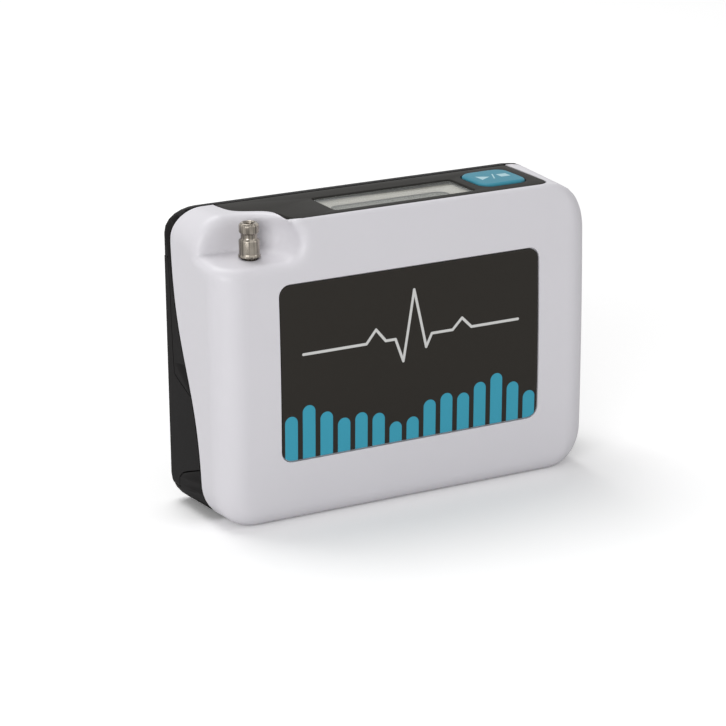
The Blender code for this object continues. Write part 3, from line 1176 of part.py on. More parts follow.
def solenoid_valve(prefix, x, steel, copper, plastic):
    """One valve: steel yoke, wound coil, plunger, its spring, and a cap with the nozzle."""
    at = (x, VALVE_Y, 0)
    half = VALVE_WIDTH / 2
    yoke = block(prefix + "_yoke", (x - half, VALVE_Y - VALVE_DEPTH / 2, VALVE_BASE),
                 (x + half, VALVE_Y + VALVE_DEPTH / 2, VALVE_TOP), steel)
    inside = half - VALVE_PLATE
    carve(yoke, block("window", (x - inside, VALVE_Y - VALVE_DEPTH, VALVE_BASE + VALVE_PLATE),
                      (x + inside, VALVE_Y + VALVE_DEPTH, VALVE_TOP - VALVE_PLATE)))
    carve(yoke, rod("hole", COIL_BORE_RADIUS + GAP, VALVE_TOP - VALVE_PLATE - GAP, VALVE_TOP + OVERRUN,
                    at=at,
                    steps=SMALL_STEPS))
    turned(prefix + "_coil",
           ((COIL_BORE_RADIUS, COIL_BASE), (COIL_FLANGE_RADIUS, COIL_BASE),
            (COIL_FLANGE_RADIUS, COIL_BASE + COIL_FLANGE_HEIGHT),
            (COIL_RADIUS, COIL_BASE + COIL_FLANGE_HEIGHT),
            (COIL_RADIUS, COIL_TOP - COIL_FLANGE_HEIGHT), (COIL_FLANGE_RADIUS,
                                                           COIL_TOP - COIL_FLANGE_HEIGHT),
            (COIL_FLANGE_RADIUS, COIL_TOP), (COIL_BORE_RADIUS, COIL_TOP)), copper, at, steps=SMALL_STEPS,
            bored=True)
    tip = CAP_PLUG_BASE - VALVE_TRAVEL - SEAT_GAP - PLUNGER_BASE
    turned(prefix + "_plunger", ((PLUNGER_RADIUS, 0.0), (PLUNGER_RADIUS, PLUNGER_LENGTH),
                                 (PLUNGER_TIP_RADIUS, PLUNGER_LENGTH), (PLUNGER_TIP_RADIUS, tip)), steel,
           (x, VALVE_Y, PLUNGER_BASE), steps=SMALL_STEPS)
    spring = coil_spring(prefix + "_spring", VALVE_SPRING_WIRE_RADIUS, VALVE_SPRING_RADIUS,
                         VALVE_SPRING_RADIUS,
                         VALVE_SPRING_HEIGHT, VALVE_SPRING_TURNS, VALVE_SPRING_STEPS, VALVE_SPRING_SIDES)
    spring.location = (x, VALVE_Y, VALVE_SPRING_BASE)
    spring.data.materials.append(steel)
    turned(prefix + "_cap",
           ((PLUNGER_RADIUS, CAP_PLUG_BASE), (PLUNGER_RADIUS, CAP_FLANGE_BASE),
            (CAP_FLANGE_RADIUS, CAP_FLANGE_BASE),
            (CAP_FLANGE_RADIUS, CAP_FLANGE_TOP), (NOZZLE_RADIUS, CAP_FLANGE_TOP),
            (NOZZLE_RADIUS, MANIFOLD_BASE + NOZZLE_LENGTH - GAP),
            (NOZZLE_BORE_RADIUS, MANIFOLD_BASE + NOZZLE_LENGTH - GAP), (NOZZLE_BORE_RADIUS, CAP_PLUG_BASE)),
           plastic, at, steps=SMALL_STEPS, bored=True)


def motor_parts(steel, black, dark_metal, rubber, holder):
    """Motor can, end cap, magnets and rings; the rotor turns on the holder's axis."""
    at = (PUMP_X, PUMP_Y, 0)
    shaft_base = MOTOR_BASE + SHAFT_END_ROOM
    cap = rod("motor_end_cap", MOTOR_RADIUS, MOTOR_BASE, MOTOR_BASE + MOTOR_CAP_HEIGHT, black, at)
    carve(cap, rod("bore", SHAFT_RADIUS + GAP, shaft_base - GAP, CAN_BASE + OVERRUN, at=at,
                   steps=SMALL_STEPS))
    inner = MOTOR_RADIUS - MOTOR_WALL
    roof = CAN_TOP - MOTOR_ROOF
    turned("motor_can", ((MOTOR_RADIUS, CAN_BASE), (MOTOR_RADIUS, CAN_TOP), (SHAFT_RADIUS + GAP, CAN_TOP),
                         (SHAFT_RADIUS + GAP, roof), (inner, roof), (inner, CAN_BASE)), steel, at,
                         bored=True)
    middle = (CAN_BASE + roof) / 2
    low, high = middle - MAGNET_HEIGHT / 2, middle + MAGNET_HEIGHT / 2
    magnet = inner - GAP
    turned("motor_magnets", ((magnet, low), (magnet, high), (magnet - MAGNET_WALL, high),
                             (magnet - MAGNET_WALL, low)),
           dark_metal, at, bored=True)
    base = CAN_BASE + MOTOR_CAN_HEIGHT * RING_SHARE
    bore, rim = MOTOR_RADIUS + GAP, MOTOR_RADIUS + GAP + RING_WALL
    turned("motor_ring", ((rim, base), (rim, base + RING_HEIGHT), (bore, base + RING_HEIGHT),
                          (bore, base)), rubber,
           at, bored=True)
    core = magnet - MAGNET_WALL - 2 * GAP
    armature = rod("motor_armature", core, -ARMATURE_HEIGHT / 2, ARMATURE_HEIGHT / 2, dark_metal,
                   (0, 0, middle))
    for index in range(ARMATURE_SLOTS):
        turn = math.tau * index / ARMATURE_SLOTS
        slot = block("slot", (core - ARMATURE_SLOT_DEPTH, -ARMATURE_SLOT_WIDTH / 2, -ARMATURE_HEIGHT),
                     (core + OVERRUN, ARMATURE_SLOT_WIDTH / 2, ARMATURE_HEIGHT))
        slot.rotation_euler.z = turn
        slot.location.z = middle
        carve(armature, slot)
    bore = rod("bore", SHAFT_RADIUS + GAP, -ARMATURE_HEIGHT, ARMATURE_HEIGHT, at=(0, 0, middle),
               steps=SMALL_STEPS)
    carve(armature, bore)
    shaft = rod("motor_shaft", SHAFT_RADIUS, shaft_base, ECCENTRIC_TOP - GAP, steel, steps=SMALL_STEPS)
    for piece in (armature, shaft):
        piece.parent = holder


def pump_parts(plastic, pale, rubber, brass, holder):
    """Crankcase, eccentric, drive plate, diaphragm, valve plate and cover."""
    at = (PUMP_X, PUMP_Y, 0)
    inner = PUMP_RADIUS - PUMP_WALL
    floor = CRANKCASE_BASE + CRANKCASE_FLOOR
    hole = SHAFT_RADIUS + 2 * GAP
    turned("pump_crankcase", ((PUMP_RADIUS, CRANKCASE_BASE), (PUMP_RADIUS, CRANKCASE_TOP), (inner,
                                                                                            CRANKCASE_TOP),
                              (inner, floor), (hole, floor), (hole, CRANKCASE_BASE)), plastic, at,
                              bored=True)
    eccentric = rod("pump_eccentric", ECCENTRIC_RADIUS, ECCENTRIC_BASE, ECCENTRIC_TOP, brass)
    carve(eccentric, rod("bore", SHAFT_RADIUS + GAP, ECCENTRIC_BASE - OVERRUN, ECCENTRIC_TOP + OVERRUN,
                         steps=SMALL_STEPS))
    carve(eccentric, rod("pin", CRANK_PIN_RADIUS, ECCENTRIC_TOP - EMBED, ECCENTRIC_TOP + CRANK_PIN_HEIGHT,
                         at=(CRANK_THROW, 0, 0), steps=SMALL_STEPS), "UNION")
    eccentric.parent = holder
    hub = CRANK_THROW + CRANK_PIN_RADIUS + GAP
    turned("pump_drive_plate", ((DRIVE_PLATE_RADIUS, DRIVE_PLATE_BASE), (DRIVE_PLATE_RADIUS,
                                                                         DRIVE_PLATE_TOP),
                                (hub, DRIVE_PLATE_TOP), (hub, DRIVE_PLATE_BASE)), plastic, at, bored=True)
    diaphragm = rod("pump_diaphragm", PUMP_RADIUS, DIAPHRAGM_BASE, DIAPHRAGM_BASE + DIAPHRAGM_HEIGHT,
                    rubber, at)
    plate = rod("pump_valve_plate", PUMP_RADIUS, VALVE_PLATE_BASE, VALVE_PLATE_BASE + VALVE_PLATE_HEIGHT,
                pale, at)
    for index in range(DIAPHRAGM_CUPS):
        turn = math.tau * (index + 0.5) / DIAPHRAGM_CUPS
        place = (PUMP_X + DIAPHRAGM_CUP_OFFSET * math.cos(turn),
                 PUMP_Y + DIAPHRAGM_CUP_OFFSET * math.sin(turn), 0)
        carve(diaphragm, rod("cup", DIAPHRAGM_CUP_RADIUS, CUP_BASE, DIAPHRAGM_BASE + EMBED, at=place,
                             steps=SMALL_STEPS), "UNION")
        carve(plate, rod("hole", VALVE_PLATE_HOLE_RADIUS, VALVE_PLATE_BASE - OVERRUN,
                         COVER_BASE + OVERRUN, at=place,
                         steps=SMALL_STEPS))
    cover = rod("pump_cover", PUMP_RADIUS, COVER_BASE, COVER_TOP, plastic, at)
    carve(cover, rod("chamber", inner, COVER_BASE - OVERRUN, COVER_TOP - PUMP_WALL, at=at))
    left = PUMP_X - PUMP_RADIUS
    mouth = rod("spigot", SPIGOT_RADIUS, left - PUMP_SPIGOT_LENGTH, left + EMBED, at=(0, PUMP_Y, MANIFOLD_Z),
                axis="X", steps=SMALL_STEPS)
    carve(cover, mouth, "UNION")
    carve(cover, rod("bore", NOZZLE_BORE_RADIUS, left - OVERRUN, left + PUMP_WALL + OVERRUN,
                     at=(0, PUMP_Y, MANIFOLD_Z), axis="X", steps=SMALL_STEPS))


# Electronics


def port_centre():
    """Y and Z of the data port."""
    return ON_BOARD + PORT_HEIGHT / 2, BOARD_BASE + BOARD_HEIGHT * PORT_HEIGHT_SHARE


def on_board(share_x, share_z):
    """A place on the main board."""
    return BOARD_LEFT + BOARD_WIDTH * share_x, BOARD_BASE + BOARD_HEIGHT * share_z


def board_parts(green, black, steel, pale):
    """Main board, its chip, backup cell, beeper and data port."""
    board = block("main_board", (BOARD_LEFT, BOARD_FRONT, BOARD_BASE),
                  (BOARD_LEFT + BOARD_WIDTH, BOARD_BACK, BOARD_BASE + BOARD_HEIGHT), green)
    for x, z in board_pin_places():
        carve(board, rod("hole", BOARD_PIN_RADIUS + GAP, BOARD_FRONT - OVERRUN, BOARD_BACK + OVERRUN,
                         at=(x, 0, z),
                         axis="Y", steps=SMALL_STEPS))
    x, z = on_board(*CHIP_SHARES)
    half = CHIP_SIDE / 2
    block("main_chip", (x - half, ON_BOARD, z - half), (x + half, ON_BOARD + CHIP_HEIGHT, z + half), black)
    x, z = on_board(*BACKUP_CELL_SHARES)
    rod("backup_cell", BACKUP_CELL_RADIUS, ON_BOARD, ON_BOARD + BACKUP_CELL_HEIGHT, steel, (x, 0, z), "Y")
    x, z = on_board(*BEEPER_SHARES)
    beeper = rod("beeper", BEEPER_RADIUS, ON_BOARD, ON_BOARD + BEEPER_HEIGHT, black, (x, 0, z), "Y")
    carve(beeper, rod("hole", BEEPER_HOLE_RADIUS, ON_BOARD + BEEPER_HEIGHT - BEEPER_HOLE_DEPTH,
                      ON_BOARD + BEEPER_HEIGHT + OVERRUN, at=(x, 0, z), axis="Y", steps=SMALL_STEPS))
    y, z = port_centre()
    right = HALF_WIDTH - WALL - GAP
    port = prism("data_port", rounded((y, z), PORT_HEIGHT, PORT_WIDTH, PORT_WALL, 2), "X",
                 right - PORT_LENGTH, right,
                 steel)
    inside = rounded((y, z), PORT_HEIGHT - 2 * PORT_WALL, PORT_WIDTH - 2 * PORT_WALL, PORT_WALL / 2, 2)
    carve(port, prism("mouth", inside, "X", right - PORT_LENGTH + PORT_WALL, right + OVERRUN))
    tongue = block("tongue", (right - PORT_LENGTH + PORT_WALL / 2, y - PORT_TONGUE / 2, z - PORT_WIDTH / 4),
                   (right - PORT_TONGUE, y + PORT_TONGUE / 2, z + PORT_WIDTH / 4))
    carve(port, tongue, "UNION")


def case_screws(steel):
    """Screws from the back, with a cross slot, that cut their own thread in the front bosses."""
    for index, (x, z, start, length) in enumerate(column_places()):
        seat = start + length + GAP + SCREW_WEB + GAP
        top = seat + SCREW_HEAD_HEIGHT
        profile = ((SCREW_RADIUS, start + length - SCREW_REACH), (SCREW_RADIUS, seat),
                   (SCREW_HEAD_RADIUS, seat),
                   (SCREW_HEAD_RADIUS, top))
        body = turned(f"case_screw_{index + 1}", profile, steel, (x, 0, z), "Y", SMALL_STEPS)
        reach, half = SCREW_HEAD_RADIUS / 2, SCREW_SLOT_WIDTH / 2
        floor = top - SCREW_SLOT_DEPTH
        cross = block("slot", (x - reach, floor, z - half), (x + reach, top + OVERRUN, z + half))
        carve(cross, block("slot", (x - half, floor, z - reach), (x + half, top + OVERRUN, z + reach)),
              "UNION")
        carve(body, cross)


# Batteries


def battery_parts(sleeve, steel, nickel):
    """Two cells head to tail, springs at their flat ends and contact plates."""
    for index, (x, base, upright) in enumerate(zip(CELL_XS, CELL_BASES, (True, False))):
        profile = [(CELL_RADIUS - CELL_EDGE, 0.0), (CELL_RADIUS, CELL_EDGE),
                   (CELL_RADIUS, CELL_LENGTH - CELL_EDGE),
                   (CELL_RADIUS - CELL_EDGE, CELL_LENGTH), (CELL_NUB_RADIUS, CELL_LENGTH),
                   (CELL_NUB_RADIUS, CELL_WHOLE)]
        if not upright:
            profile = [(radius, CELL_WHOLE - level) for radius, level in profile]
        turned(f"aa_cell_{index + 1}", profile, sleeve, (x, CELL_Y, base))
    plate_base, plate_top = BAY_BASE + GAP, BAY_TOP - GAP
    half = CONTACT_SIDE / 2
    block("battery_link", (CELL_XS[0] - half, CELL_Y - half, plate_base),
          (CELL_XS[1] + half, CELL_Y + half, plate_base + CONTACT_THICKNESS), nickel)
    block("battery_plate", (CELL_XS[0] - half, CELL_Y - half, plate_top - CONTACT_THICKNESS),
          (CELL_XS[0] + half, CELL_Y + half, plate_top), nickel)
    lower = coil_spring("battery_spring_1", SPRING_WIRE_RADIUS, SPRING_WIDE_RADIUS, SPRING_NARROW_RADIUS,
                        SPRING_HEIGHT, SPRING_TURNS, SPRING_STEPS, SPRING_SIDES)
    lower.location = (CELL_XS[0], CELL_Y, plate_base + CONTACT_THICKNESS + GAP)
    foot = CELL_BASES[1] + CELL_WHOLE + GAP
    upper = coil_spring("battery_spring_2", SPRING_WIRE_RADIUS, SPRING_NARROW_RADIUS, SPRING_WIDE_RADIUS,
                        plate_top - foot, SPRING_TURNS, SPRING_STEPS, SPRING_SIDES)
    upper.location = (CELL_XS[1], CELL_Y, foot)
    for spring in (lower, upper):
        spring.data.materials.append(steel)


def build():
    """Clear the scene and make every piece."""
    for thing in list(bpy.data.objects):
        bpy.data.objects.remove(thing)
    white = finish("white_plastic", (214, 212, 216), 0.45)
    dark = finish("dark_plastic", (58, 57, 56), 0.55)
    panel = finish("panel_plastic", (66, 65, 63), 0.4)
    overlay = finish("label_film", (54, 50, 47), 0.35)
    paper = finish("blank_label", (200, 200, 198), 0.5)
    teal = finish("teal_rubber", (70, 152, 172), 0.5)
    clear = finish("clear_plastic", (225, 228, 226), 0.08, alpha=0.35)
    pale = finish("pale_plastic", (196, 194, 184), 0.5)
    glass = finish("display_glass", (134, 136, 126), 0.15)
    nickel = finish("nickel", (186, 180, 170), 0.25, 1.0)
    steel = finish("steel", (170, 170, 172), 0.35, 1.0)
    dark_metal = finish("dark_metal", (90, 90, 94), 0.5, 0.8)
    brass = finish("brass", (190, 160, 90), 0.35, 1.0)
    copper = finish("copper", (184, 115, 70), 0.4, 0.9)
    green = finish("circuit_board", (28, 92, 62), 0.5)
    black = finish("black_plastic", (30, 30, 32), 0.5)
    rubber = finish("black_rubber", (34, 34, 34), 0.8)
    silicone = finish("silicone", (222, 224, 220), 0.5)
    sleeve = finish("cell_sleeve", (60, 90, 130), 0.35, 0.3)

    front_shell(white)
    rear_shell(dark)
    top_panel(panel)
    front_label(overlay)
    rating_label(paper)
    door_axis = bpy.data.objects.new("door_axis", None)
    bpy.context.scene.collection.objects.link(door_axis)
    door_axis.location = (DOOR_RIGHT + DOOR_SEAM / 2, BACK + DOOR_PROUD, 0)
    battery_door(dark, door_axis)
    display_parts(clear, pale, glass, rubber, green, copper)
    button_parts(teal, black, steel)
    shank_base = nipple_parts(nickel, rubber)
    manifold(pale)
    hoses(silicone, shank_base)
    sensors(pale)
    for prefix, x in zip(("deflate_valve", "safety_valve"), VALVE_XS):
        solenoid_valve(prefix, x, steel, copper, black)
    rotor_axis = bpy.data.objects.new("rotor_axis", None)
    bpy.context.scene.collection.objects.link(rotor_axis)
    rotor_axis.location = (PUMP_X, PUMP_Y, 0)
    motor_parts(steel, black, dark_metal, rubber, rotor_axis)
    pump_parts(black, pale, rubber, brass, rotor_axis)
    board_parts(green, black, steel, pale)
    battery_parts(sleeve, steel, nickel)
    case_screws(steel)


build()
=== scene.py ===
"""Looks of a pocket sized blood pressure recorder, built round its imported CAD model."""

import functools
import json
import logging
import math
from dataclasses import dataclass
from enum import Enum
from typing import Callable, Sequence

import bmesh
import bpy
from mathutils import Matrix, Vector
from mathutils.bvhtree import BVHTree

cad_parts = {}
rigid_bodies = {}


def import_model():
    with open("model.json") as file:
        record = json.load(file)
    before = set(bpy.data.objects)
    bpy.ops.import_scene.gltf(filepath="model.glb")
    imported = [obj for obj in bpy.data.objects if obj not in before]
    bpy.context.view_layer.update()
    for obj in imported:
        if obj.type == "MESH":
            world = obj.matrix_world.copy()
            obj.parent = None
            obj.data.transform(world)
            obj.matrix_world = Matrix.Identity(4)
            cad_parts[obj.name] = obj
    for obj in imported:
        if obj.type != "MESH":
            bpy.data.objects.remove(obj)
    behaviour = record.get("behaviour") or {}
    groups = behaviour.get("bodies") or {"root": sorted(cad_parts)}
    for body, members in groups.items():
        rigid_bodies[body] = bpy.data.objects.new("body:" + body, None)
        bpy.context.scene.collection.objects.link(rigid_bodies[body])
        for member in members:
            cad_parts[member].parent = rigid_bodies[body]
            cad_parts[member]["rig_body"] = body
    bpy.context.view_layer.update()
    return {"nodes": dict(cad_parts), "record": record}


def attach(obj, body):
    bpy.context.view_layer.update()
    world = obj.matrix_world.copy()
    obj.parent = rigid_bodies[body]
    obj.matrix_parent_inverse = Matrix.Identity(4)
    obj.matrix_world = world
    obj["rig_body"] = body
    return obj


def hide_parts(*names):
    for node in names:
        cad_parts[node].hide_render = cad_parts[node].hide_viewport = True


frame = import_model()

log = logging.getLogger("recorder")

MM = 0.001
TOLERANCE = 0.001 * MM
QUARTER = math.pi / 2
KEY_CENTRE = (28.3 * MM, -2.7 * MM)

Point2 = tuple[float, float]
Rgb = tuple[int, int, int]
Finishes = dict[str, bpy.types.Material]
Place = Callable[["Station"], Vector]


# Shader maths


class Value:
    """A shader socket that adds Math nodes when it stands in an expression."""

    def __init__(self, shader: "Shader", socket: bpy.types.NodeSocket) -> None:
        """Wraps one output socket of a shader's tree."""
        self.shader = shader
        self.socket = socket

    def maths(self, operation: str, *terms: "Value | float") -> "Value":
        """Adds a Math node of an operation over terms, and gives its result."""
        node = self.shader.node("ShaderNodeMath", {"operation": operation}, *terms)
        return Value(self.shader, node.outputs[0])

    def __add__(self, other: "Value | float") -> "Value":
        """Sum."""
        return self.maths("ADD", self, other)

    def __sub__(self, other: "Value | float") -> "Value":
        """Difference."""
        return self.maths("SUBTRACT", self, other)

    def __rsub__(self, other: "Value | float") -> "Value":
        """Difference from a number."""
        return self.maths("SUBTRACT", other, self)

    def __mul__(self, other: "Value | float") -> "Value":
        """Product."""
        return self.maths("MULTIPLY", self, other)

    def __truediv__(self, other: "Value | float") -> "Value":
        """Quotient."""
        return self.maths("DIVIDE", self, other)

    def __abs__(self) -> "Value":
        """Size without sign."""
        return self.maths("ABSOLUTE", self)

    def __and__(self, other: "Value | float") -> "Value":
        """The lesser of two values."""
        return self.maths("MINIMUM", self, other)

    def __or__(self, other: "Value | float") -> "Value":
        """The greater of two values."""
        return self.maths("MAXIMUM", self, other)

    def floor(self) -> "Value":
        """Whole number below."""
        return self.maths("FLOOR", self)

    def sine(self) -> "Value":
        """Sine of an angle in radians."""
        return self.maths("SINE", self)

    def root(self) -> "Value":
        """Square root."""
        return self.maths("SQRT", self)

    def swing(self, size: float) -> "Value":
        """Swing about zero of a cloud that lies about one half."""
        return (self - 0.5) * size

    def step(self, low: float, high: float) -> "Value":
        """Smooth step from 0 at low to 1 at high, which may be below low."""
        node = self.shader.node("ShaderNodeMapRange", {"interpolation_type": "SMOOTHSTEP"},
                                self, low, high, 0.0, 1.0)
        return Value(self.shader, node.outputs[0])


class Shader:
    """A material's tree of nodes and its main surface node."""

    def __init__(self, name: str) -> None:
        """Starts an empty material."""
        self.material = bpy.data.materials.new(name)
        self.material.use_nodes = True
        self.tree = self.material.node_tree
        self.tree.nodes.clear()
        self.surface = self.tree.nodes.new("ShaderNodeBsdfPrincipled")
        output = self.tree.nodes.new("ShaderNodeOutputMaterial")
        self.tree.links.new(self.surface.outputs[0], output.inputs["Surface"])
        self.place = self.tree.nodes.new("ShaderNodeTexCoord").outputs["Object"]

    def feed(self, socket: bpy.types.NodeSocket, value: object) -> None:
        """Links or sets one input.

        Args:
            socket: The input.
            value: A Value, a socket, a colour, a vector or a number.
        """
        if isinstance(value, Value):
            self.tree.links.new(value.socket, socket)
        elif isinstance(value, bpy.types.NodeSocket):
            self.tree.links.new(value, socket)
        else:
            socket.default_value = value

    def node(self, kind: str, settings: dict[str, object], *inputs: object) -> bpy.types.Node:
        """Adds a node.

        Args:
            kind: Its type.
            settings: Properties set before the inputs.
            inputs: Values of its inputs in order, or None to leave one alone.

        Returns:
            The node.
        """
        node = self.tree.nodes.new(kind)
        for key, setting in settings.items():
            setattr(node, key, setting)
        for index, value in enumerate(inputs):
            if value is not None:
                self.feed(node.inputs[index], value)
        return node

    def coordinates(self) -> tuple[Value, Value, Value]:
        """X, Y and Z of the place on the object, in millimetres."""
        parts = self.node("ShaderNodeSeparateXYZ", {}, self.place)
        return tuple(Value(self, out) * (1 / MM) for out in parts.outputs)

    def noise(self, size: float, detail: float = 2.0, stretch: Sequence[float] = (1, 1, 1)) -> Value:
        """A cloud of values about one half.

        Args:
            size: Its grain in metres.
            detail: Octaves.
            stretch: How much finer it is along each axis.

        Returns:
            The noise.
        """
        at = self.node("ShaderNodeMapping", {}, self.place, None, None, tuple(stretch))
        cloud = self.node("ShaderNodeTexNoise", {}, at.outputs[0], None, 1 / size, detail)
        return Value(self, cloud.outputs[0])

    def mix(self, share: Value, first: object, second: object) -> bpy.types.NodeSocket:
        """Mixes two colours.

        Args:
            share: Share of the second.
            first: Colour or socket.
            second: Colour or socket.

        Returns:
            The mixed colour's socket.
        """
        node = self.node("ShaderNodeMix", {"data_type": "RGBA"}, share)
        self.feed(node.inputs[6], first)
        self.feed(node.inputs[7], second)
        return node.outputs[2]

    def bump(self, height: Value, distance: float, strength: float = 1.0) -> None:
        """Bumps the surface.

        Args:
            height: Height, about 0 to 1.
            distance: What a height of 1 stands for, in metres.
            strength: Share of the effect.
        """
        node = self.node("ShaderNodeBump", {}, strength, distance)
        self.feed(node.inputs["Height"], height)
        self.feed(self.surface.inputs["Normal"], node.outputs[0])

    def overprint(self, mask: Value, rgb: Rgb) -> None:
        """Prints a colour over the surface's own where a mask is 1."""
        base = self.surface.inputs["Base Color"]
        self.feed(base, self.mix(mask, base.links[0].from_socket, linear(rgb)))

    def set(self, **values: object) -> None:
        """Sets or links inputs of the surface, named with underscores for spaces."""
        for key, value in values.items():
            self.feed(self.surface.inputs[key.replace("_", " ")], value)


def linear(rgb: Rgb, scale: float = 1.0) -> tuple[float, float, float, float]:
    """A colour for a shader.

    Args:
        rgb: sRGB values from 0 to 255.
        scale: Factor on the linear values.

    Returns:
        The linear colour with alpha 1.
    """
    shares = [value / 255 for value in rgb]
    steps = [share / 12.92 if share <= 0.04045 else ((share + 0.055) / 1.055) ** 2.4 for share in shares]
    return (*(min(step * scale, 1.0) for step in steps), 1.0)


# Finishes


@dataclass(frozen=True)
class Finish:
    """A finish with a name."""

    name: str

    def dress(self, shader: Shader) -> None:
        """Puts the finish on a shader."""
        raise NotImplementedError(self.name)

    def material(self) -> bpy.types.Material:
        """Builds the finish as a material."""
        shader = Shader(self.name)
        self.dress(shader)
        return shader.material


@dataclass(frozen=True)
class Moulded(Finish):
    """Moulded plastic or rubber with a fine eroded grain."""

    rgb: Rgb
    roughness: float
    grain: float = 0.35 * MM
    relief: float = 0.004 * MM
    clouds: float = 0.04
    cloud_size: float = 9 * MM
    contrast: float = 0.12
    grain_gloss: float = 0.16
    cloud_gloss: float = 0.1
    specular: float = 0.5

    def dress(self, shader: Shader) -> None:
        """Puts colour, roughness and grain on a shader."""
        broad = shader.noise(self.cloud_size, 3.0)
        fine = shader.noise(self.grain, 3.0)
        share = broad.swing(2.0) * self.clouds + 0.5
        low, high = (linear(self.rgb, scale) for scale in (1 - self.contrast, 1 + self.contrast))
        shader.set(Base_Color=shader.mix(share, low, high), Specular_IOR_Level=self.specular,
                   Roughness=fine.swing(self.grain_gloss) + broad.swing(self.cloud_gloss) + self.roughness)
        shader.bump(fine, self.relief)


@dataclass(frozen=True)
class Metal(Finish):
    """Bare or plated metal with fine turning or drawing marks; dark bands in its colour are marks and also
    painted reflections of dark surroundings.
    """

    rgb: Rgb
    roughness: float
    marks: tuple[float, float, float] = (1.0, 1.0, 12.0)
    relief: float = 0.003 * MM
    grain: float = 0.8 * MM
    # Share of dark bands in the colour: marks, and painted reflection of dark surroundings.
    streaks: float = 0.1
    stains: float = 0.2
    stain_size: float = 2.5 * MM
    darkest: float = 0.15
    # Range of the noise that makes the bands of marks and painted reflection.
    mark_range: Point2 = (0.4, 0.6)
    stain_range: Point2 = (0.35, 0.75)
    mark_gloss: float = 0.2
    stain_gloss: float = 0.12

    def dress(self, shader: Shader) -> None:
        """Puts colour, gloss and marks on a shader, with dark bands in the colour that are marks and painted
        reflection.
        """
        lines = shader.noise(self.grain, 2.0, self.marks)
        stains = shader.noise(self.stain_size, 3.0)
        # Darkens the colour for stains, and for bands of marks and painted reflection.
        shade = stains.step(*self.stain_range) * self.stains + lines.step(*self.mark_range) * self.streaks
        shader.set(Base_Color=shader.mix(shade, linear(self.rgb), linear(self.rgb, self.darkest)),
                   Roughness=lines.swing(self.mark_gloss) + stains.swing(self.stain_gloss) + self.roughness,
                   Metallic=1.0)
        shader.bump(lines, self.relief)


@dataclass(frozen=True)
class Clear(Finish):
    """Clear plastic that shows what lies under it."""

    alpha: float
    rgb: Rgb = (214, 218, 216)
    roughness: float = 0.05
    smear_size: float = 4 * MM
    smear_range: Point2 = (0.4, 0.9)
    smears: float = 0.06
    coat: float = 0.6
    coat_roughness: float = 0.03

    def dress(self, shader: Shader) -> None:
        """Puts a faintly smeared clear coat on a shader."""
        smears = shader.noise(self.smear_size, 3.0).step(*self.smear_range)
        shader.set(Base_Color=linear(self.rgb), Roughness=smears * self.smears + self.roughness,
                   Alpha=self.alpha, Coat_Weight=self.coat, Coat_Roughness=self.coat_roughness)
        shader.material.surface_render_method = "BLENDED"


@dataclass(frozen=True)
class ReadingsFilm(Moulded):
    """Dark overlay film with a row of teal columns and a thin pale trace, both made up.

    Sizes and places are in millimetres on the front. Each swing of the columns' height is a sine over
    the column's number, as its rate, its start and its size.
    """

    teal: Rgb = (64, 161, 186)
    pale: Rgb = (214, 214, 212)
    left: float = -33.5
    pitch: float = 67 / 15
    width: float = 3.2
    mean_top: float = 23.8
    swings: tuple[tuple[float, float, float], ...] = ((0.62, 0.9, 2.6), (1.7, 0.0, 1.5))
    line: float = 0.32
    softness: float = 0.06
    pulse: tuple[Point2, ...] = ((-28.0, 40.0), (-12.0, 40.0), (-9.5, 43.0), (-7.0, 40.0), (-4.5, 40.0),
                                 (-2.5, 34.5), (0.5, 51.0), (3.5, 37.0), (5.0, 40.0), (10.5, 40.0),
                                 (13.0, 42.5), (15.5, 40.0), (28.0, 40.0))

    def dress(self, shader: Shader) -> None:
        """Puts the film with its columns and its trace on a shader."""
        super().dress(shader)
        x, _, z = shader.coordinates()
        index = ((x - self.left) / self.pitch).floor()
        across = abs(x - self.left - (index + 0.5) * self.pitch)
        slow, fast = ((index * rate + start).sine() * size for rate, start, size in self.swings)
        over = (z - (slow + fast + self.mean_top) + self.width / 2) | 0.0
        shader.overprint(self.inside((across * across + over * over).root(), self.width / 2), self.teal)
        shader.overprint(self.inside(self.reach(x, z).root(), self.line), self.pale)

    def inside(self, distance: Value, limit: float) -> Value:
        """Mask of what lies nearer than a limit, with a soft edge."""
        return distance.step(limit + self.softness, limit - self.softness)

    def reach(self, x: Value, z: Value) -> Value:
        """Squared distance to the pulse line.

        Args:
            x: Place across.
            z: Height.

        Returns:
            The least over its runs.
        """
        runs = []
        for (x1, z1), (x2, z2) in zip(self.pulse, self.pulse[1:]):
            length = math.hypot(x2 - x1, z2 - z1)
            along_x, along_z = (x2 - x1) / length, (z2 - z1) / length
            along = (((x - x1) * along_x + (z - z1) * along_z) | 0.0) & length
            off_x = x - x1 - along * along_x
            off_z = z - z1 - along * along_z
            runs.append(off_x * off_x + off_z * off_z)
        return functools.reduce(Value.__and__, runs)


@dataclass(frozen=True)
class KeyRubber(Moulded):
    """Teal key with a pale triangle, stroke and square, the usual signs for start and stop.

    Sizes and places of the signs are in millimetres, from the middle of the key.
    """

    pale: Rgb = (176, 212, 220)
    triangle: tuple[float, float, float] = (-3.9, -1.0, 0.6)
    stroke: tuple[float, float, float] = (0.42, 0.17, 2.0)
    square: Point2 = (2.7, 1.25)
    softness: float = 0.08
    top_levels: Point2 = (71.2, 71.3)

    def dress(self, shader: Shader) -> None:
        """Puts the rubber and its signs on a shader."""
        super().dress(shader)
        x, y, z = shader.coordinates()
        x, y = (value - place / MM for value, place in zip((x, y), KEY_CENTRE))
        back, tip, slope = self.triangle
        triangle = (back - x) | (abs(y) + (x - tip) * slope)
        lean, half, reach = self.stroke
        stroke = (abs(x - y * lean) - half) | (abs(y) - reach)
        middle, half = self.square
        square = (abs(x - middle) - half) | (abs(y) - half)
        signs = triangle & stroke & square
        shader.overprint(signs.step(self.softness, -self.softness) * z.step(*self.top_levels), self.pale)


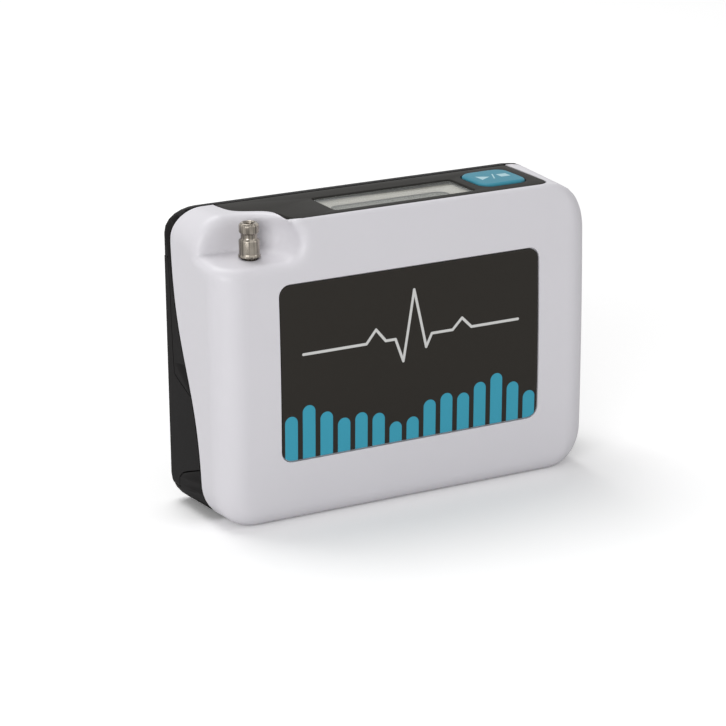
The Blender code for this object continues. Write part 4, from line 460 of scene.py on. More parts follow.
@dataclass(frozen=True)
class CellSleeve(Finish):
    """Printed sleeve of a cell between its bare metal ends, whose height is in millimetres."""

    rgb: Rgb
    end: Rgb = (196, 198, 202)
    worn: Rgb = (150, 160, 175)
    roughness: float = 0.28
    scuff_size: float = 1.5 * MM
    scuff_marks: tuple[float, float, float] = (1.0, 1.0, 0.3)
    scuff_relief: float = 0.01 * MM
    scuff_gloss: float = 0.15
    scuff_range: Point2 = (0.62, 0.75)
    wear: float = 0.3
    middle: float = 31.0
    half: float = 14.5
    softness: float = 0.1
    coat: float = 0.3

    def dress(self, shader: Shader) -> None:
        """Puts sleeve, ends and scuffs on a shader."""
        scuffs = shader.noise(self.scuff_size, 4.0, self.scuff_marks)
        _, _, z = shader.coordinates()
        worn = scuffs.step(*self.scuff_range) * self.wear
        sleeve = shader.mix(worn, linear(self.rgb), linear(self.worn))
        covered = abs(z - self.middle).step(self.half + self.softness, self.half)
        shader.set(Base_Color=shader.mix(covered, linear(self.end), sleeve), Coat_Weight=self.coat,
                   Roughness=scuffs * self.scuff_gloss + self.roughness)
        shader.bump(scuffs, self.scuff_relief, 0.5)


@dataclass(frozen=True)
class SolderMask(Finish):
    """Circuit board with faint tracks under its mask."""

    rgb: Rgb = (28, 92, 62)
    track: Rgb = (52, 128, 84)
    track_rates: tuple[float, float] = (4.2, 3.1)
    bend_rate: float = 0.9
    bend: float = 2.0
    track_range: Point2 = (0.1, 0.3)
    track_share: float = 0.6
    roughness: float = 0.3
    gloss: float = 0.2
    grain: float = 1 * MM
    relief: float = 0.03 * MM

    def dress(self, shader: Shader) -> None:
        """Puts mask and tracks on a shader."""
        x, _, z = shader.coordinates()
        across, up = self.track_rates
        bent = (x * across + (z * self.bend_rate).sine() * self.bend).sine()
        lines = (bent & (z * up).sine()).step(*self.track_range)
        shader.set(Base_Color=shader.mix(lines * self.track_share, linear(self.rgb), linear(self.track)),
                   Roughness=shader.noise(self.grain) * self.gloss + self.roughness)
        shader.bump(lines, self.relief)


FINISHES = (
    Moulded("white_plastic", (221, 219, 224), 0.42),
    Moulded("dark_plastic", (34, 33, 33), 0.6, relief=0.008 * MM, clouds=0.1, specular=0.06),
    Moulded("panel_plastic", (54, 53, 51), 0.6, relief=0.003 * MM, clouds=0.08, specular=0.05),
    Moulded("frame_plastic", (196, 193, 182), 0.45),
    Moulded("pale_plastic", (198, 196, 186), 0.5),
    Moulded("display_glass", (116, 117, 108), 0.3, relief=0.001 * MM, clouds=0.1, specular=0.2),
    Moulded("black_plastic", (30, 30, 32), 0.45),
    Moulded("black_rubber", (34, 34, 34), 0.7, relief=0.01 * MM, clouds=0.12),
    Moulded("silicone", (222, 224, 220), 0.4),
    Moulded("blank_label", (202, 202, 200), 0.55, grain=0.2 * MM, relief=0.003 * MM),
    ReadingsFilm("label_film", (45, 42, 38), 0.4, relief=0.002 * MM, clouds=0.08, specular=0.15),
    KeyRubber("teal_rubber", (58, 137, 158), 0.5, relief=0.006 * MM, specular=0.2),
    # Nickel: strong dark upright bands, painted reflections of dark surroundings.
    Metal("nickel", (176, 168, 157), 0.2, marks=(2.4, 2.4, 0.15), grain=1.6 * MM, streaks=0.62),
    Metal("steel", (172, 172, 174), 0.32),
    Metal("dark_metal", (92, 92, 96), 0.45),
    Metal("brass", (190, 160, 90), 0.3),
    Metal("copper", (184, 115, 70), 0.35, marks=(1.0, 1.0, 30.0)),
    Clear("clear_plastic", 0.16),
    CellSleeve("cell_sleeve", (60, 90, 130)),
    SolderMask("circuit_board"),
)


# Meshes


@dataclass(frozen=True)
class Station:
    """A place on a rounded outline: which straight run or corner, and the outward normal."""

    across: float
    up: float
    normal: Vector

    @staticmethod
    def on_side(side: str, share: float, arc: float) -> "Station":
        """A place on one side, which runs from the middle of one corner to the next.

        Args:
            side: top, bottom, left or right.
            share: Share of the run, from the left or from the bottom.
            arc: Share of the run that each half corner takes.

        Returns:
            The station.
        """
        if share < arc:
            run, turn = -1.0, (share / arc - 1) * QUARTER / 2
        elif share > 1 - arc:
            run, turn = 1.0, ((share - 1) / arc + 1) * QUARTER / 2
        else:
            run, turn = 2 * (share - arc) / (1 - 2 * arc) - 1, 0.0
        across, up, angle = {"top": (run, 1.0, QUARTER - turn), "bottom": (run, -1.0, turn - QUARTER),
                             "left": (-1.0, run, math.pi - turn), "right": (1.0, run, turn)}[side]
        return Station(across, up, Vector((math.cos(angle), math.sin(angle))))

    def flat(self, width: float, height: float, radius: float) -> Point2:
        """Where it lies on a plain rounded rectangle about zero."""
        return (self.across * (width / 2 - radius) + self.normal.x * radius,
                self.up * (height / 2 - radius) + self.normal.y * radius)


def graded(length: float, dense: float, fine: float, coarse: float, dense_last: bool) -> list[float]:
    """Shares of a run with closer steps at one end.

    Args:
        length: Length of the run.
        dense: Length of its close part.
        fine: Step in the close part.
        coarse: Step in the rest.
        dense_last: True where the close part is at the end.

    Returns:
        Shares from 0 to 1.
    """
    close = max(round(dense / fine), 1)
    wide = max(round((length - dense) / coarse), 1)
    shares = [dense / length * n / close for n in range(close)]
    shares += [dense / length + (1 - dense / length) * n / wide for n in range(wide + 1)]
    return [1 - share for share in reversed(shares)] if dense_last else shares


def even(count: int) -> list[float]:
    """Even shares from 0 to 1, in a number of steps."""
    return [n / count for n in range(count + 1)]


class Sheet:
    """A grid of quads over a rounded outline, whose rim is extruded ring by ring."""

    def __init__(self, columns: Sequence[float], rows: Sequence[float], arcs: Point2,
                 outline: Callable[[Station], Point2], lift: Callable[[float, float], Vector]) -> None:
        """Makes the grid.

        Args:
            columns: Shares of its columns.
            rows: Shares of its rows.
            arcs: Share that half a corner takes of the horizontal and of the upright runs.
            outline: Where a station lies in the grid's plane.
            lift: Takes a point of that plane to its place.
        """
        self.mesh = bmesh.new()
        self.stations: list[Station] = []
        bmesh.ops.create_grid(self.mesh, x_segments=len(columns) - 1, y_segments=len(rows) - 1, size=1.0)
        self.layer = self.mesh.verts.layers.int.new("station")
        last = (len(columns) - 1, len(rows) - 1)
        edges = {side: [outline(Station.on_side(side, share, arc)) for share in shares]
                 for side, shares, arc in (("bottom", columns, arcs[0]), ("top", columns, arcs[0]),
                                           ("left", rows, arcs[1]), ("right", rows, arcs[1]))}
        for vert in self.mesh.verts:
            i = round((vert.co.x + 1) / 2 * last[0])
            j = round((vert.co.y + 1) / 2 * last[1])
            u, v = columns[i], rows[j]
            point = [0.0, 0.0]
            for axis in range(2):
                run = ((1 - v) * edges["bottom"][i][axis] + v * edges["top"][i][axis]
                       + (1 - u) * edges["left"][j][axis] + u * edges["right"][j][axis])
                corners = ((1 - v) * ((1 - u) * edges["bottom"][0][axis] + u * edges["bottom"][-1][axis])
                           + v * ((1 - u) * edges["top"][0][axis] + u * edges["top"][-1][axis]))
                point[axis] = run - corners
            vert.co = lift(*point)
            side = ("bottom" if j == 0 else "top" if j == last[1] else "left" if i == 0
                    else "right" if i == last[0] else None)
            if side:
                vert[self.layer] = len(self.stations)
                share, arc = (u, arcs[0]) if side in ("bottom", "top") else (v, arcs[1])
                self.stations.append(Station.on_side(side, share, arc))
        self.rim = [edge for edge in self.mesh.edges if edge.is_boundary]

    def ring(self, place: Place) -> "Sheet":
        """Extrudes the rim to a new ring.

        Args:
            place: Where each station lies on it.

        Returns:
            The sheet itself.
        """
        made = bmesh.ops.extrude_edge_only(self.mesh, edges=self.rim)["geom"]
        verts = [item for item in made if isinstance(item, bmesh.types.BMVert)]
        for vert in verts:
            vert.co = place(self.stations[vert[self.layer]])
        fresh = set(verts)
        self.rim = [item for item in made if isinstance(item, bmesh.types.BMEdge)
                    and item.verts[0] in fresh and item.verts[1] in fresh]
        return self

    def close(self) -> "Sheet":
        """Closes the rim with one face."""
        bmesh.ops.edgeloop_fill(self.mesh, edges=self.rim)
        return self


class Part:
    """A piece in the making, as an object at the origin."""

    def __init__(self, name: str, mesh: bmesh.types.BMesh, material: bpy.types.Material | None = None,
                 outward: bool = True) -> None:
        """Takes a bmesh over into a new object.

        Args:
            name: Name of the piece.
            mesh: Its bmesh, which is freed.
            material: Its finish.
            outward: True to turn the faces outwards.
        """
        if outward:
            bmesh.ops.recalc_face_normals(mesh, faces=mesh.faces[:])
        data = bpy.data.meshes.new(name)
        mesh.to_mesh(data)
        mesh.free()
        self.object = bpy.data.objects.new(name, data)
        bpy.context.scene.collection.objects.link(self.object)
        if material:
            data.materials.append(material)

    def modify(self, kind: str, **settings: object) -> "Part":
        """Adds a modifier and applies it.

        Args:
            kind: Its type.
            settings: Its properties.

        Returns:
            The part.
        """
        modifier = self.object.modifiers.new(kind.title(), kind)
        for key, value in settings.items():
            setattr(modifier, key, value)
        graph = bpy.context.evaluated_depsgraph_get()
        made = bpy.data.meshes.new_from_object(self.object.evaluated_get(graph))
        old = self.object.data
        self.object.modifiers.clear()
        self.object.data = made
        bpy.data.meshes.remove(old)
        return self

    def carve(self, tool: "Part") -> None:
        """Cuts with another part, which is used up."""
        self.modify("BOOLEAN", object=tool.object, operation="DIFFERENCE", solver="MANIFOLD")
        bpy.data.objects.remove(tool.object)

    def shade(self, angle: float) -> "Part":
        """Shades it smooth, with edges sharper than an angle in degrees kept crisp."""
        self.object.data.shade_smooth()
        self.object.data.set_sharp_from_angle(angle=math.radians(angle))
        return self

    def mount(self, body: str, slot: str, node: str) -> None:
        """Puts the finished piece on its body.

        Args:
            body: The body that it moves with.
            slot: The record's material slot; not used.
            node: The CAD node that it stands for.
        """
        piece = self.object
        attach(piece, body)
        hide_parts(node)
        log.info("%s: %d faces on %s", piece.name, len(piece.data.polygons), body)


def loft(name: str, rings: Sequence[Sequence[Vector]], material: bpy.types.Material | None = None,
         capped: bool = True) -> Part:
    """A skin over rings of points, by extruding the first one.

    Args:
        name: Name of the piece.
        rings: Rings with the same number of points.
        material: Its finish.
        capped: True to close both ends with a face.

    Returns:
        The part.
    """
    mesh = bmesh.new()
    layer = mesh.verts.layers.int.new("place")
    verts = [mesh.verts.new(point) for point in rings[0]]
    for index, vert in enumerate(verts):
        vert[layer] = index
    rim = [mesh.edges.new((verts[index - 1], verts[index])) for index in range(len(verts))]
    first = list(rim)
    for ring in rings[1:]:
        made = bmesh.ops.extrude_edge_only(mesh, edges=rim)["geom"]
        fresh = {item for item in made if isinstance(item, bmesh.types.BMVert)}
        for vert in fresh:
            vert.co = ring[vert[layer]]
        rim = [item for item in made if isinstance(item, bmesh.types.BMEdge)
               and item.verts[0] in fresh and item.verts[1] in fresh]
    if capped:
        bmesh.ops.edgeloop_fill(mesh, edges=first)
        bmesh.ops.edgeloop_fill(mesh, edges=rim)
    return Part(name, mesh, material)


def prism(name: str, outline: Sequence[Point2], axis: str, low: float, high: float) -> Part:
    """A straight body over an outline.

    Args:
        name: Name of the piece.
        outline: Points in the plane across the axis.
        axis: X, Y or Z.
        low: Where it starts along the axis.
        high: Where it ends.

    Returns:
        The part.
    """
    place = "XYZ".index(axis)
    rings = [[Vector((*point[:place], level, *point[place:])) for point in outline] for level in (low, high)]
    return loft(name, rings)


def rounded(centre: Point2, width: float, height: float, radius: float, steps: int = 6) -> list[Point2]:
    """Outline of a rounded rectangle, counter-clockwise.

    Args:
        centre: Its middle.
        width: Its width.
        height: Its height.
        radius: Its corner radius.
        steps: Steps in each corner.

    Returns:
        The points.
    """
    points = []
    for corner, (right, up) in enumerate(((1, 1), (-1, 1), (-1, -1), (1, -1))):
        for step in range(steps + 1):
            angle = QUARTER * (corner + step / steps)
            points.append((centre[0] + right * (width / 2 - radius) + radius * math.cos(angle),
                           centre[1] + up * (height / 2 - radius) + radius * math.sin(angle)))
    return points


def smooth_line(points: Sequence[Point2], steps: int) -> list[Point2]:
    """A smooth line through points.

    Args:
        points: What it passes through.
        steps: Steps between two of them.

    Returns:
        The points of the line.
    """
    nodes = [Vector(point) for point in points]
    nodes = [nodes[0] * 2 - nodes[1], *nodes, nodes[-1] * 2 - nodes[-2]]
    line = []
    for before, start, end, after in zip(nodes, nodes[1:], nodes[2:], nodes[3:]):
        for step in range(steps):
            t = step / steps
            square = (2 * before - 5 * start + 4 * end - after) * t ** 2
            cube = (3 * start - before - 3 * end + after) * t ** 3
            line.append(tuple(0.5 * (2 * start + (end - before) * t + square + cube)))
    return line + [tuple(nodes[-2])]


def turned(name: str, profile: Sequence[Point2], at: Vector, material: bpy.types.Material | None,
           steps: int) -> Part:
    """A closed profile spun round an upright axis.

    Args:
        name: Name of the piece.
        profile: Closed line of (radius, height) points.
        at: A point on the axis.
        material: Its finish.
        steps: Steps of the full turn.

    Returns:
        The part.
    """
    mesh = bmesh.new()
    verts = [mesh.verts.new((at.x + radius, at.y, height)) for radius, height in profile]
    edges = [mesh.edges.new((verts[index - 1], verts[index])) for index in range(len(verts))]
    bmesh.ops.spin(mesh, geom=verts + edges, cent=(at.x, at.y, 0), axis=(0, 0, 1), angle=math.tau,
                   steps=steps, use_merge=True)
    bmesh.ops.remove_doubles(mesh, verts=mesh.verts[:], dist=TOLERANCE)
    return Part(name, mesh, material)


def softened(profile: Sequence[Point2], radius: float, rounding: float = 0.29) -> list[Point2]:
    """A closed profile with its corners cut back twice.

    Args:
        profile: The corners.
        radius: How far back each cut starts, at most a third of a side.
        rounding: How far in the middle of each cut lies, as a share of both its ends.

    Returns:
        The softened profile.
    """
    points = [Vector(point) for point in profile]
    result = []
    for before, point, after in zip([points[-1], *points], points, [*points[1:], points[0]]):
        back = (before - point).normalized() * min(radius, (before - point).length / 3)
        ahead = (after - point).normalized() * min(radius, (after - point).length / 3)
        result += [tuple(point + back), tuple(point + (back + ahead) * rounding), tuple(point + ahead)]
    return result


# The case


@dataclass(frozen=True)
class CaseForm:
    """Outer form of the whole case."""

    width: float = 97.0 * MM
    height: float = 71.0 * MM
    front: float = -14.8 * MM
    back: float = 14.5 * MM
    front_corner: float = 9.5 * MM
    rear_corner: float = 6.6 * MM
    front_right_corner: float = 12.5 * MM
    rear_right_corner: float = 9.7 * MM
    side_fillet: float = 6.5 * MM
    top_fillet: float = 1.0 * MM
    base_fillet: float = 4.6 * MM
    rear_side_fillet: float = 1.1 * MM
    rear_top_fillet: float = 5.6 * MM
    rear_base_fillet: float = 3.0 * MM
    crown_depth: float = 1.0 * MM
    crown_centre: float = 35.8 * MM
    crown_fade: float = 9.0 * MM
    parting_depth: float = 18.4 * MM
    parting_swing: float = 7.2 * MM
    parting_height: float = 34.3 * MM
    parting_softness: float = 16.7 * MM
    parting_roll: float = 2.9 * MM
    parting_roll_room: float = 9.0 * MM
    parting_rounds: int = 6

    def crown(self, z: float) -> float:
        """How far the front has curved back at a height."""
        return self.crown_depth * ((z - self.crown_centre) / (self.height / 2)) ** 2

    def parting(self, z: float) -> float:
        """Where the white front ends along Y at a height."""
        swing = math.tanh((z - self.parting_height) / self.parting_softness)
        roll = max(z - (self.height - self.parting_roll_room), 0.0) / self.parting_roll_room
        return self.front + self.parting_depth + self.parting_swing * swing - self.parting_roll * roll ** 2

    def edge(self, normal: Vector, side: float, top: float, base: float) -> float:
        """Fillet radius at a normal of the outline, from those along the sides, the top and the base."""
        end = top if normal.y > 0 else base
        return side + (end - side) * normal.y ** 2

    def across(self, station: Station, corners: Point2, inset: float) -> Point2:
        """X and Z of a station.

        Args:
            station: The station.
            corners: Radius of the outline's corners, and that of the top right one.
            inset: How far the ring is drawn in.

        Returns:
            X and Z.
        """
        share = (station.across + 1) * (station.up + 1) / 4
        corner = corners[0] + (corners[1] - corners[0]) * share
        reach = corner - inset
        return (station.across * (self.width / 2 - corner) + station.normal.x * reach,
                self.height / 2 + station.up * (self.height / 2 - corner) + station.normal.y * reach)

    def front_point(self, station: Station, turn: float) -> Vector:
        """A place on the front fillet.

        Args:
            station: The station.
            turn: From 0 on the front to a quarter turn on the side.

        Returns:
            The place.
        """
        edge = self.edge(station.normal, self.side_fillet, self.top_fillet, self.base_fillet)
        depth = edge * (1 - math.cos(turn))
        corners = (self.front_corner, self.front_right_corner)
        x, z = self.across(station, corners, edge * (1 - math.sin(turn)))
        return Vector((x, self.front + depth + self.crown(z) * max(1 - depth / self.crown_fade, 0), z))

    def wall_point(self, station: Station, share: float) -> Vector:
        """A place on the wall between the front fillet and the parting line.

        Args:
            station: The station.
            share: From 0 at the fillet to 1 on the parting line.

        Returns:
            The place.
        """
        near = self.front_point(station, QUARTER)
        x, z = self.across(station, (self.rear_corner, self.rear_right_corner), 0.0)
        edge = self.edge(station.normal, self.rear_side_fillet, self.rear_top_fillet, self.rear_base_fillet)
        far = Vector((x, self.back - edge, z))
        end = 0.5
        for _ in range(self.parting_rounds):
            level = near.lerp(far, end).z
            end = (self.parting(level) - near.y) / (far.y - near.y)
        return near.lerp(far, end * share)


@dataclass(frozen=True)
class Scoop:
    """Hollow in the top left front corner round the hose nipple."""

    reach: float = 21.0 * MM
    depth: float = 12.2 * MM
    front_floor: float = 61.1 * MM
    rear_floor: float = 62.7 * MM
    low_radii: Point2 = (4.4 * MM, 4.2 * MM)
    high_radii: Point2 = (5.0 * MM, 4.8 * MM)
    bend: float = 11.0 * MM
    lean: float = math.radians(50)
    softness: float = 2.6 * MM
    steps: int = 10

    def form(self, case: CaseForm) -> Part:
        """The space of the hollow, open to the left, the front and the top.

        Args:
            case: The case that it is sunk into.

        Returns:
            A closed body.
        """
        left = -case.width / 2 - 2 * self.bend
        top = case.height + self.bend / 2
        rear = case.front + self.depth
        straight = (case.front - self.bend, case.front, (case.front + rear - self.bend) / 2)
        stations = [(y, 0.0) for y in straight]
        for step in range(self.steps + 1):
            angle = QUARTER * step / self.steps
            drawn = self.bend * (1 - math.cos(angle))
            stations.append((rear - self.bend + self.bend * math.sin(angle), drawn))
        rings = []
        for y, drawn in stations:
            share = (y - case.front) / self.depth
            low, high = (start + (end - start) * share for start, end in (self.low_radii, self.high_radii))
            floor = self.front_floor + (self.rear_floor - self.front_floor) * share
            edge = -case.width / 2 + self.reach - drawn
            curve = []
            for turn in reversed(even(self.steps)):
                angle = self.lean * turn
                curve.append((edge - high + high * math.cos(angle), floor + low + high * math.sin(angle)))
            for turn in even(self.steps)[1:]:
                angle = QUARTER * turn
                curve.append((edge - low + low * math.cos(angle), floor + low - low * math.sin(angle)))
            rise = (top - curve[0][1]) / math.cos(self.lean)
            mouth = (curve[0][0] - rise * math.sin(self.lean), top)
            rings.append([Vector((x, y, z)) for x, z in (mouth, *curve, (left, floor), (left, top))])
        return loft("scoop", rings)


@dataclass(frozen=True)
class SoftCut:
    """A hollow sunk into a skin with rounded rims, by moving the skin's own vertices."""

    skin: BVHTree
    hollow: BVHTree
    softness: float
    way = Vector((1, 1, -1)).normalized()
    sink_rounds: int = 60
    sink_rate: float = 0.9
    draw_rounds: int = 3
    least_slope: float = 0.2

    @staticmethod
    def distance(tree: BVHTree, point: Vector) -> tuple[float, Vector]:
        """Signed distance to a surface and the way out from it.

        Args:
            tree: The surface.
            point: The point.

        Returns:
            The distance, below zero inside, and its gradient.
        """
        near, normal, _, gap = tree.find_nearest(point)
        away = point - near
        side = 1.0 if away.dot(normal) >= 0 else -1.0
        return side * gap, (away / gap * side if gap > 0.1 * TOLERANCE else normal)

    def level(self, point: Vector) -> tuple[float, Vector]:
        """Distance to the cut surface and its gradient.

        Args:
            point: The point.

        Returns:
            The level, above zero outside the material, and its gradient.
        """
        outer, out_slope = self.distance(self.skin, point)
        inner, in_slope = self.distance(self.hollow, point)
        inner, in_slope = -inner, -in_slope
        blend = max(self.softness - abs(outer - inner), 0.0) / self.softness
        share = blend / 2 if outer < inner else 1 - blend / 2
        slope = out_slope * share + in_slope * (1 - share)
        return max(outer, inner) + blend * blend * self.softness / 4, slope

    def sink(self, point: Vector) -> Vector:
        """Moves a point of the skin into the material, as far as the cut surface.

        Args:
            point: The point.

        Returns:
            The new place.
        """
        place = point.copy()
        for _ in range(self.sink_rounds):
            level, _ = self.level(place)
            if abs(level) < TOLERANCE:
                break
            place += self.way * level * self.sink_rate
        return place

    def draw(self, point: Vector) -> Vector:
        """Draws a point on to the cut surface by the shortest way.

        Args:
            point: The point.

        Returns:
            The new place.
        """
        place = point.copy()
        for _ in range(self.draw_rounds):
            level, slope = self.level(place)
            place -= slope * (level / max(slope.length_squared, self.least_slope))
        return place


@dataclass(frozen=True)
class Group:
    """What a group of pieces is built with."""

    case: CaseForm
    finishes: Finishes


@dataclass(frozen=True)
class FrontShell(Group):
    """White front of the case."""

    panel: "TopPanel"
    label: "FrontLabel"
    scoop: Scoop = Scoop()
    wall: float = 2.0 * MM
    fillet_rings: int = 9
    fine: float = 0.5 * MM
    coarse: float = 1.7 * MM
    fine_across: float = 20.0 * MM
    fine_upright: float = 9.5 * MM
    wall_run: float = 24.0 * MM
    fine_wall_run: float = 13.0 * MM
    wall_steps: Point2 = (0.6 * MM, 1.2 * MM)
    port_centre: Point2 = (-8.1 * MM, 28.85 * MM)
    port_size: tuple[float, float, float] = (3.8 * MM, 8.7 * MM, 1.2 * MM)
    port_reach: float = 4.0 * MM
    hole_radius: float = 2.1 * MM
    hole_levels: Point2 = (55.0 * MM, 66.0 * MM)
    hole_steps: int = 24
    zone_steps: int = 2
    smoothing_rounds: int = 26
    smoothing: float = 0.6
    crease: float = 38.0

    def skin(self) -> Sheet:
        """Outer skin from the front face to the parting line.

        Returns:
            The open sheet.
        """
        case = self.case
        half_arc = case.front_corner * QUARTER / 2
        across = 2 * half_arc + case.width - 2 * case.front_corner
        upright = 2 * half_arc + case.height - 2 * case.front_corner
        columns = graded(across, half_arc + self.fine_across, self.fine, self.coarse, False)
        rows = graded(upright, half_arc + self.fine_upright, self.fine, self.coarse, True)

        def outline(station: Station) -> Point2:
            """The front face's edge."""
            point = case.front_point(station, 0.0)
            return point.x, point.z

        sheet = Sheet(columns, rows, (half_arc / across, half_arc / upright), outline,
                      lambda x, z: Vector((x, case.front + case.crown(z), z)))
        for step in range(1, self.fillet_rings + 1):
            sheet.ring(lambda station: case.front_point(station, QUARTER * step / self.fillet_rings))
        for share in graded(self.wall_run, self.fine_wall_run, *self.wall_steps, False)[1:]:
            sheet.ring(lambda station: case.wall_point(station, share))
        return sheet

    def sink_scoop(self, mesh: bmesh.types.BMesh) -> None:
        """Sinks the hollow into the skin.

        Args:
            mesh: The skin.
        """
        case, scoop = self.case, self.scoop
        bmesh.ops.recalc_face_normals(mesh, faces=mesh.faces[:])
        facing = min(mesh.faces, key=lambda face: face.calc_center_median().y)
        if facing.normal.y > 0:
            bmesh.ops.reverse_faces(mesh, faces=mesh.faces[:])
        hollow = scoop.form(case)
        tool = bmesh.new()
        tool.from_mesh(hollow.object.data)
        cut = SoftCut(BVHTree.FromBMesh(mesh), BVHTree.FromBMesh(tool), scoop.softness)
        tool.free()
        bpy.data.objects.remove(hollow.object)
        margin = scoop.softness * 2
        right = scoop.reach - case.width / 2 + margin
        rear = case.front + scoop.depth + margin
        near = [vert for vert in mesh.verts
                if vert.co.x < right and vert.co.y < rear and vert.co.z > scoop.front_floor - margin]
        moved = [vert for vert in near if cut.level(vert.co)[0] > TOLERANCE]
        for vert in moved:
            vert.co = cut.sink(vert.co)
        zone = set(moved)
        for _ in range(self.zone_steps):
            zone |= {edge.other_vert(vert) for vert in list(zone) for edge in vert.link_edges}
        free = [vert for vert in zone if not vert.is_boundary]
        for _ in range(self.smoothing_rounds):
            targets = {vert: sum((edge.other_vert(vert).co for edge in vert.link_edges), Vector())
                       / len(vert.link_edges) for vert in free}
            for vert, target in targets.items():
                vert.co = cut.draw(vert.co.lerp(target, self.smoothing))

    def build(self) -> None:
        """Makes the front shell with its openings."""
        sheet = self.skin()
        self.sink_scoop(sheet.mesh)
        part = Part("front_shell_skin", sheet.mesh, self.finishes["white_plastic"])
        part.modify("SOLIDIFY", thickness=self.wall, offset=-1.0, use_even_offset=True, thickness_clamp=0.0)
        half = self.case.width / 2
        low, high = self.hole_levels
        radius = self.hole_radius
        port = rounded(self.port_centre, *self.port_size)
        for tool in (self.panel.notch(), self.panel.opening(), self.label.recess(),
                     prism("port", port, "X", half - self.port_reach, half + self.port_reach),
                     turned("hole", [(0.0, low), (radius, low), (radius, high), (0.0, high)],
                            HoseNipple.axis, None, self.hole_steps)):
            part.carve(tool)
        part.shade(self.crease).mount("case", "white_plastic", "front_shell")


@dataclass(frozen=True)
class TopPanel(Group):
    """Dark plate let into the top, with a wavy left end."""

    window: "Window"
    key: "StartKey"
    left: float = -38.6 * MM
    right: float = 37.6 * MM
    front: float = -12.8 * MM
    rear: float = 7.6 * MM
    base: float = 70.1 * MM
    corner: float = 3.0 * MM
    gap: float = 0.3 * MM
    ledge: float = 1.0 * MM
    edge: float = 0.22 * MM
    open_left: float = -22.0 * MM
    open_depth: float = 9.0 * MM
    overrun: float = 3.0 * MM
    corner_steps: int = 8
    edge_steps: int = 3
    crease: float = 40.0
    wave_steps: int = 4
    wave_size: Point2 = (12.2 * MM, 15.5 * MM)
    wave_shares: tuple[Point2, ...] = (
        (0.0, 1.25), (0.018, 1.14), (0.045, 1.01), (0.10, 0.885), (0.206, 0.80), (0.327, 0.748),
        (0.45, 0.697), (0.571, 0.64), (0.656, 0.57), (0.714, 0.47), (0.745, 0.33), (0.765, 0.215),
        (0.80, 0.115), (0.86, 0.04), (0.96, 0.0))

    def outline(self, rear: float, grow: float = 0.0) -> list[Point2]:
        """Plan of the panel, counter-clockwise.

        Args:
            rear: Where it ends at the rear.
            grow: How far it is moved outwards.

        Returns:
            The points.
        """
        wave = smooth_line([(self.left + self.wave_size[0] * x, self.front + self.wave_size[1] * y)
                            for x, y in self.wave_shares], self.wave_steps)
        centre = (self.right - self.corner, self.front + self.corner)
        turn = [(centre[0] + self.corner * math.cos(angle), centre[1] + self.corner * math.sin(angle))
                for angle in (QUARTER * (share - 1) for share in even(self.corner_steps))]
        return offset([*turn, (self.right, rear), (self.left, rear), *wave], grow)

    def notch(self) -> Part:
        """Space of the panel in the white front."""
        return prism("notch", self.outline(self.case.back, self.gap), "Z", self.base - self.gap,
                     self.case.height + self.overrun)

    def opening(self) -> Part:
        """Opening under the panel, inside its ledge."""
        right, front = self.right - self.ledge, self.front + self.ledge
        rear, top = self.case.back, self.case.height
        middle = ((right + self.open_left) / 2, (front + rear) / 2)
        hole = rounded(middle, right - self.open_left, rear - front, self.corner)
        return prism("opening", hole, "Z", top - self.open_depth, top + self.overrun)

    def build(self) -> None:
        """Makes the panel with its two openings."""
        top = self.case.height
        mesh = bmesh.new()
        for loop in (self.outline(self.rear), self.window.outline(), self.key.opening()):
            verts = [mesh.verts.new((x, y, self.base)) for x, y in loop]
            for index in range(len(verts)):
                mesh.edges.new((verts[index - 1], verts[index]))
        bmesh.ops.triangle_fill(mesh, edges=mesh.edges[:], use_beauty=True)
        made = bmesh.ops.extrude_face_region(mesh, geom=mesh.faces[:])["geom"]
        bmesh.ops.translate(mesh, vec=(0, 0, top - self.base),
                            verts=[item for item in made if isinstance(item, bmesh.types.BMVert)])
        bmesh.ops.recalc_face_normals(mesh, faces=mesh.faces[:])
        rim = [edge for edge in mesh.edges if all(vert.co.z > top - TOLERANCE for vert in edge.verts)
               and edge.calc_face_angle(0) > 1]
        bmesh.ops.bevel(mesh, geom=rim, offset=self.edge, offset_type="OFFSET", segments=self.edge_steps,
                        profile=0.5, affect="EDGES", material=-1)
        part = Part("top_plate", mesh, self.finishes["panel_plastic"])
        part.shade(self.crease).mount("case", "panel_plastic", "top_panel")


def offset(points: Sequence[Point2], distance: float, sharpest: float = 0.5) -> list[Point2]:
    """An outline moved outwards.

    Args:
        points: Counter-clockwise outline.
        distance: How far it moves.
        sharpest: Least squared length of the sum of two edges' normals, which limits sharp corners.

    Returns:
        The moved outline.
    """
    if not distance:
        return list(points)
    moved = []
    count = len(points)
    for index, point in enumerate(points):
        before, after = Vector(points[index - 1]), Vector(points[(index + 1) % count])
        here = Vector(point)
        first, second = (here - before).normalized(), (after - here).normalized()
        out = Vector((first.y, -first.x)) + Vector((second.y, -second.x))
        scale = 2 / max(out.length_squared, sharpest)
        moved.append(tuple(here + out * distance * scale))
    return moved


def corner_share(length: float, corner: float) -> float:
    """Share of a side that half of each rounded corner takes."""
    half = corner * QUARTER / 2
    return half / (2 * half + length - 2 * corner)


def cornered(arc: float, turns: int, runs: int) -> list[float]:
    """Shares of a side, even in its half corners and even between them.

    Args:
        arc: Share of the side that half a corner takes.
        turns: Steps in half a corner.
        runs: Steps between them.

    Returns:
        Shares from 0 to 1.
    """
    turn = [arc * share for share in even(turns)]
    run = [arc + (1 - 2 * arc) * share for share in even(runs)[1:-1]]
    return [*turn, *run, *(1 - share for share in reversed(turn))]


# Label, window, key and nipple


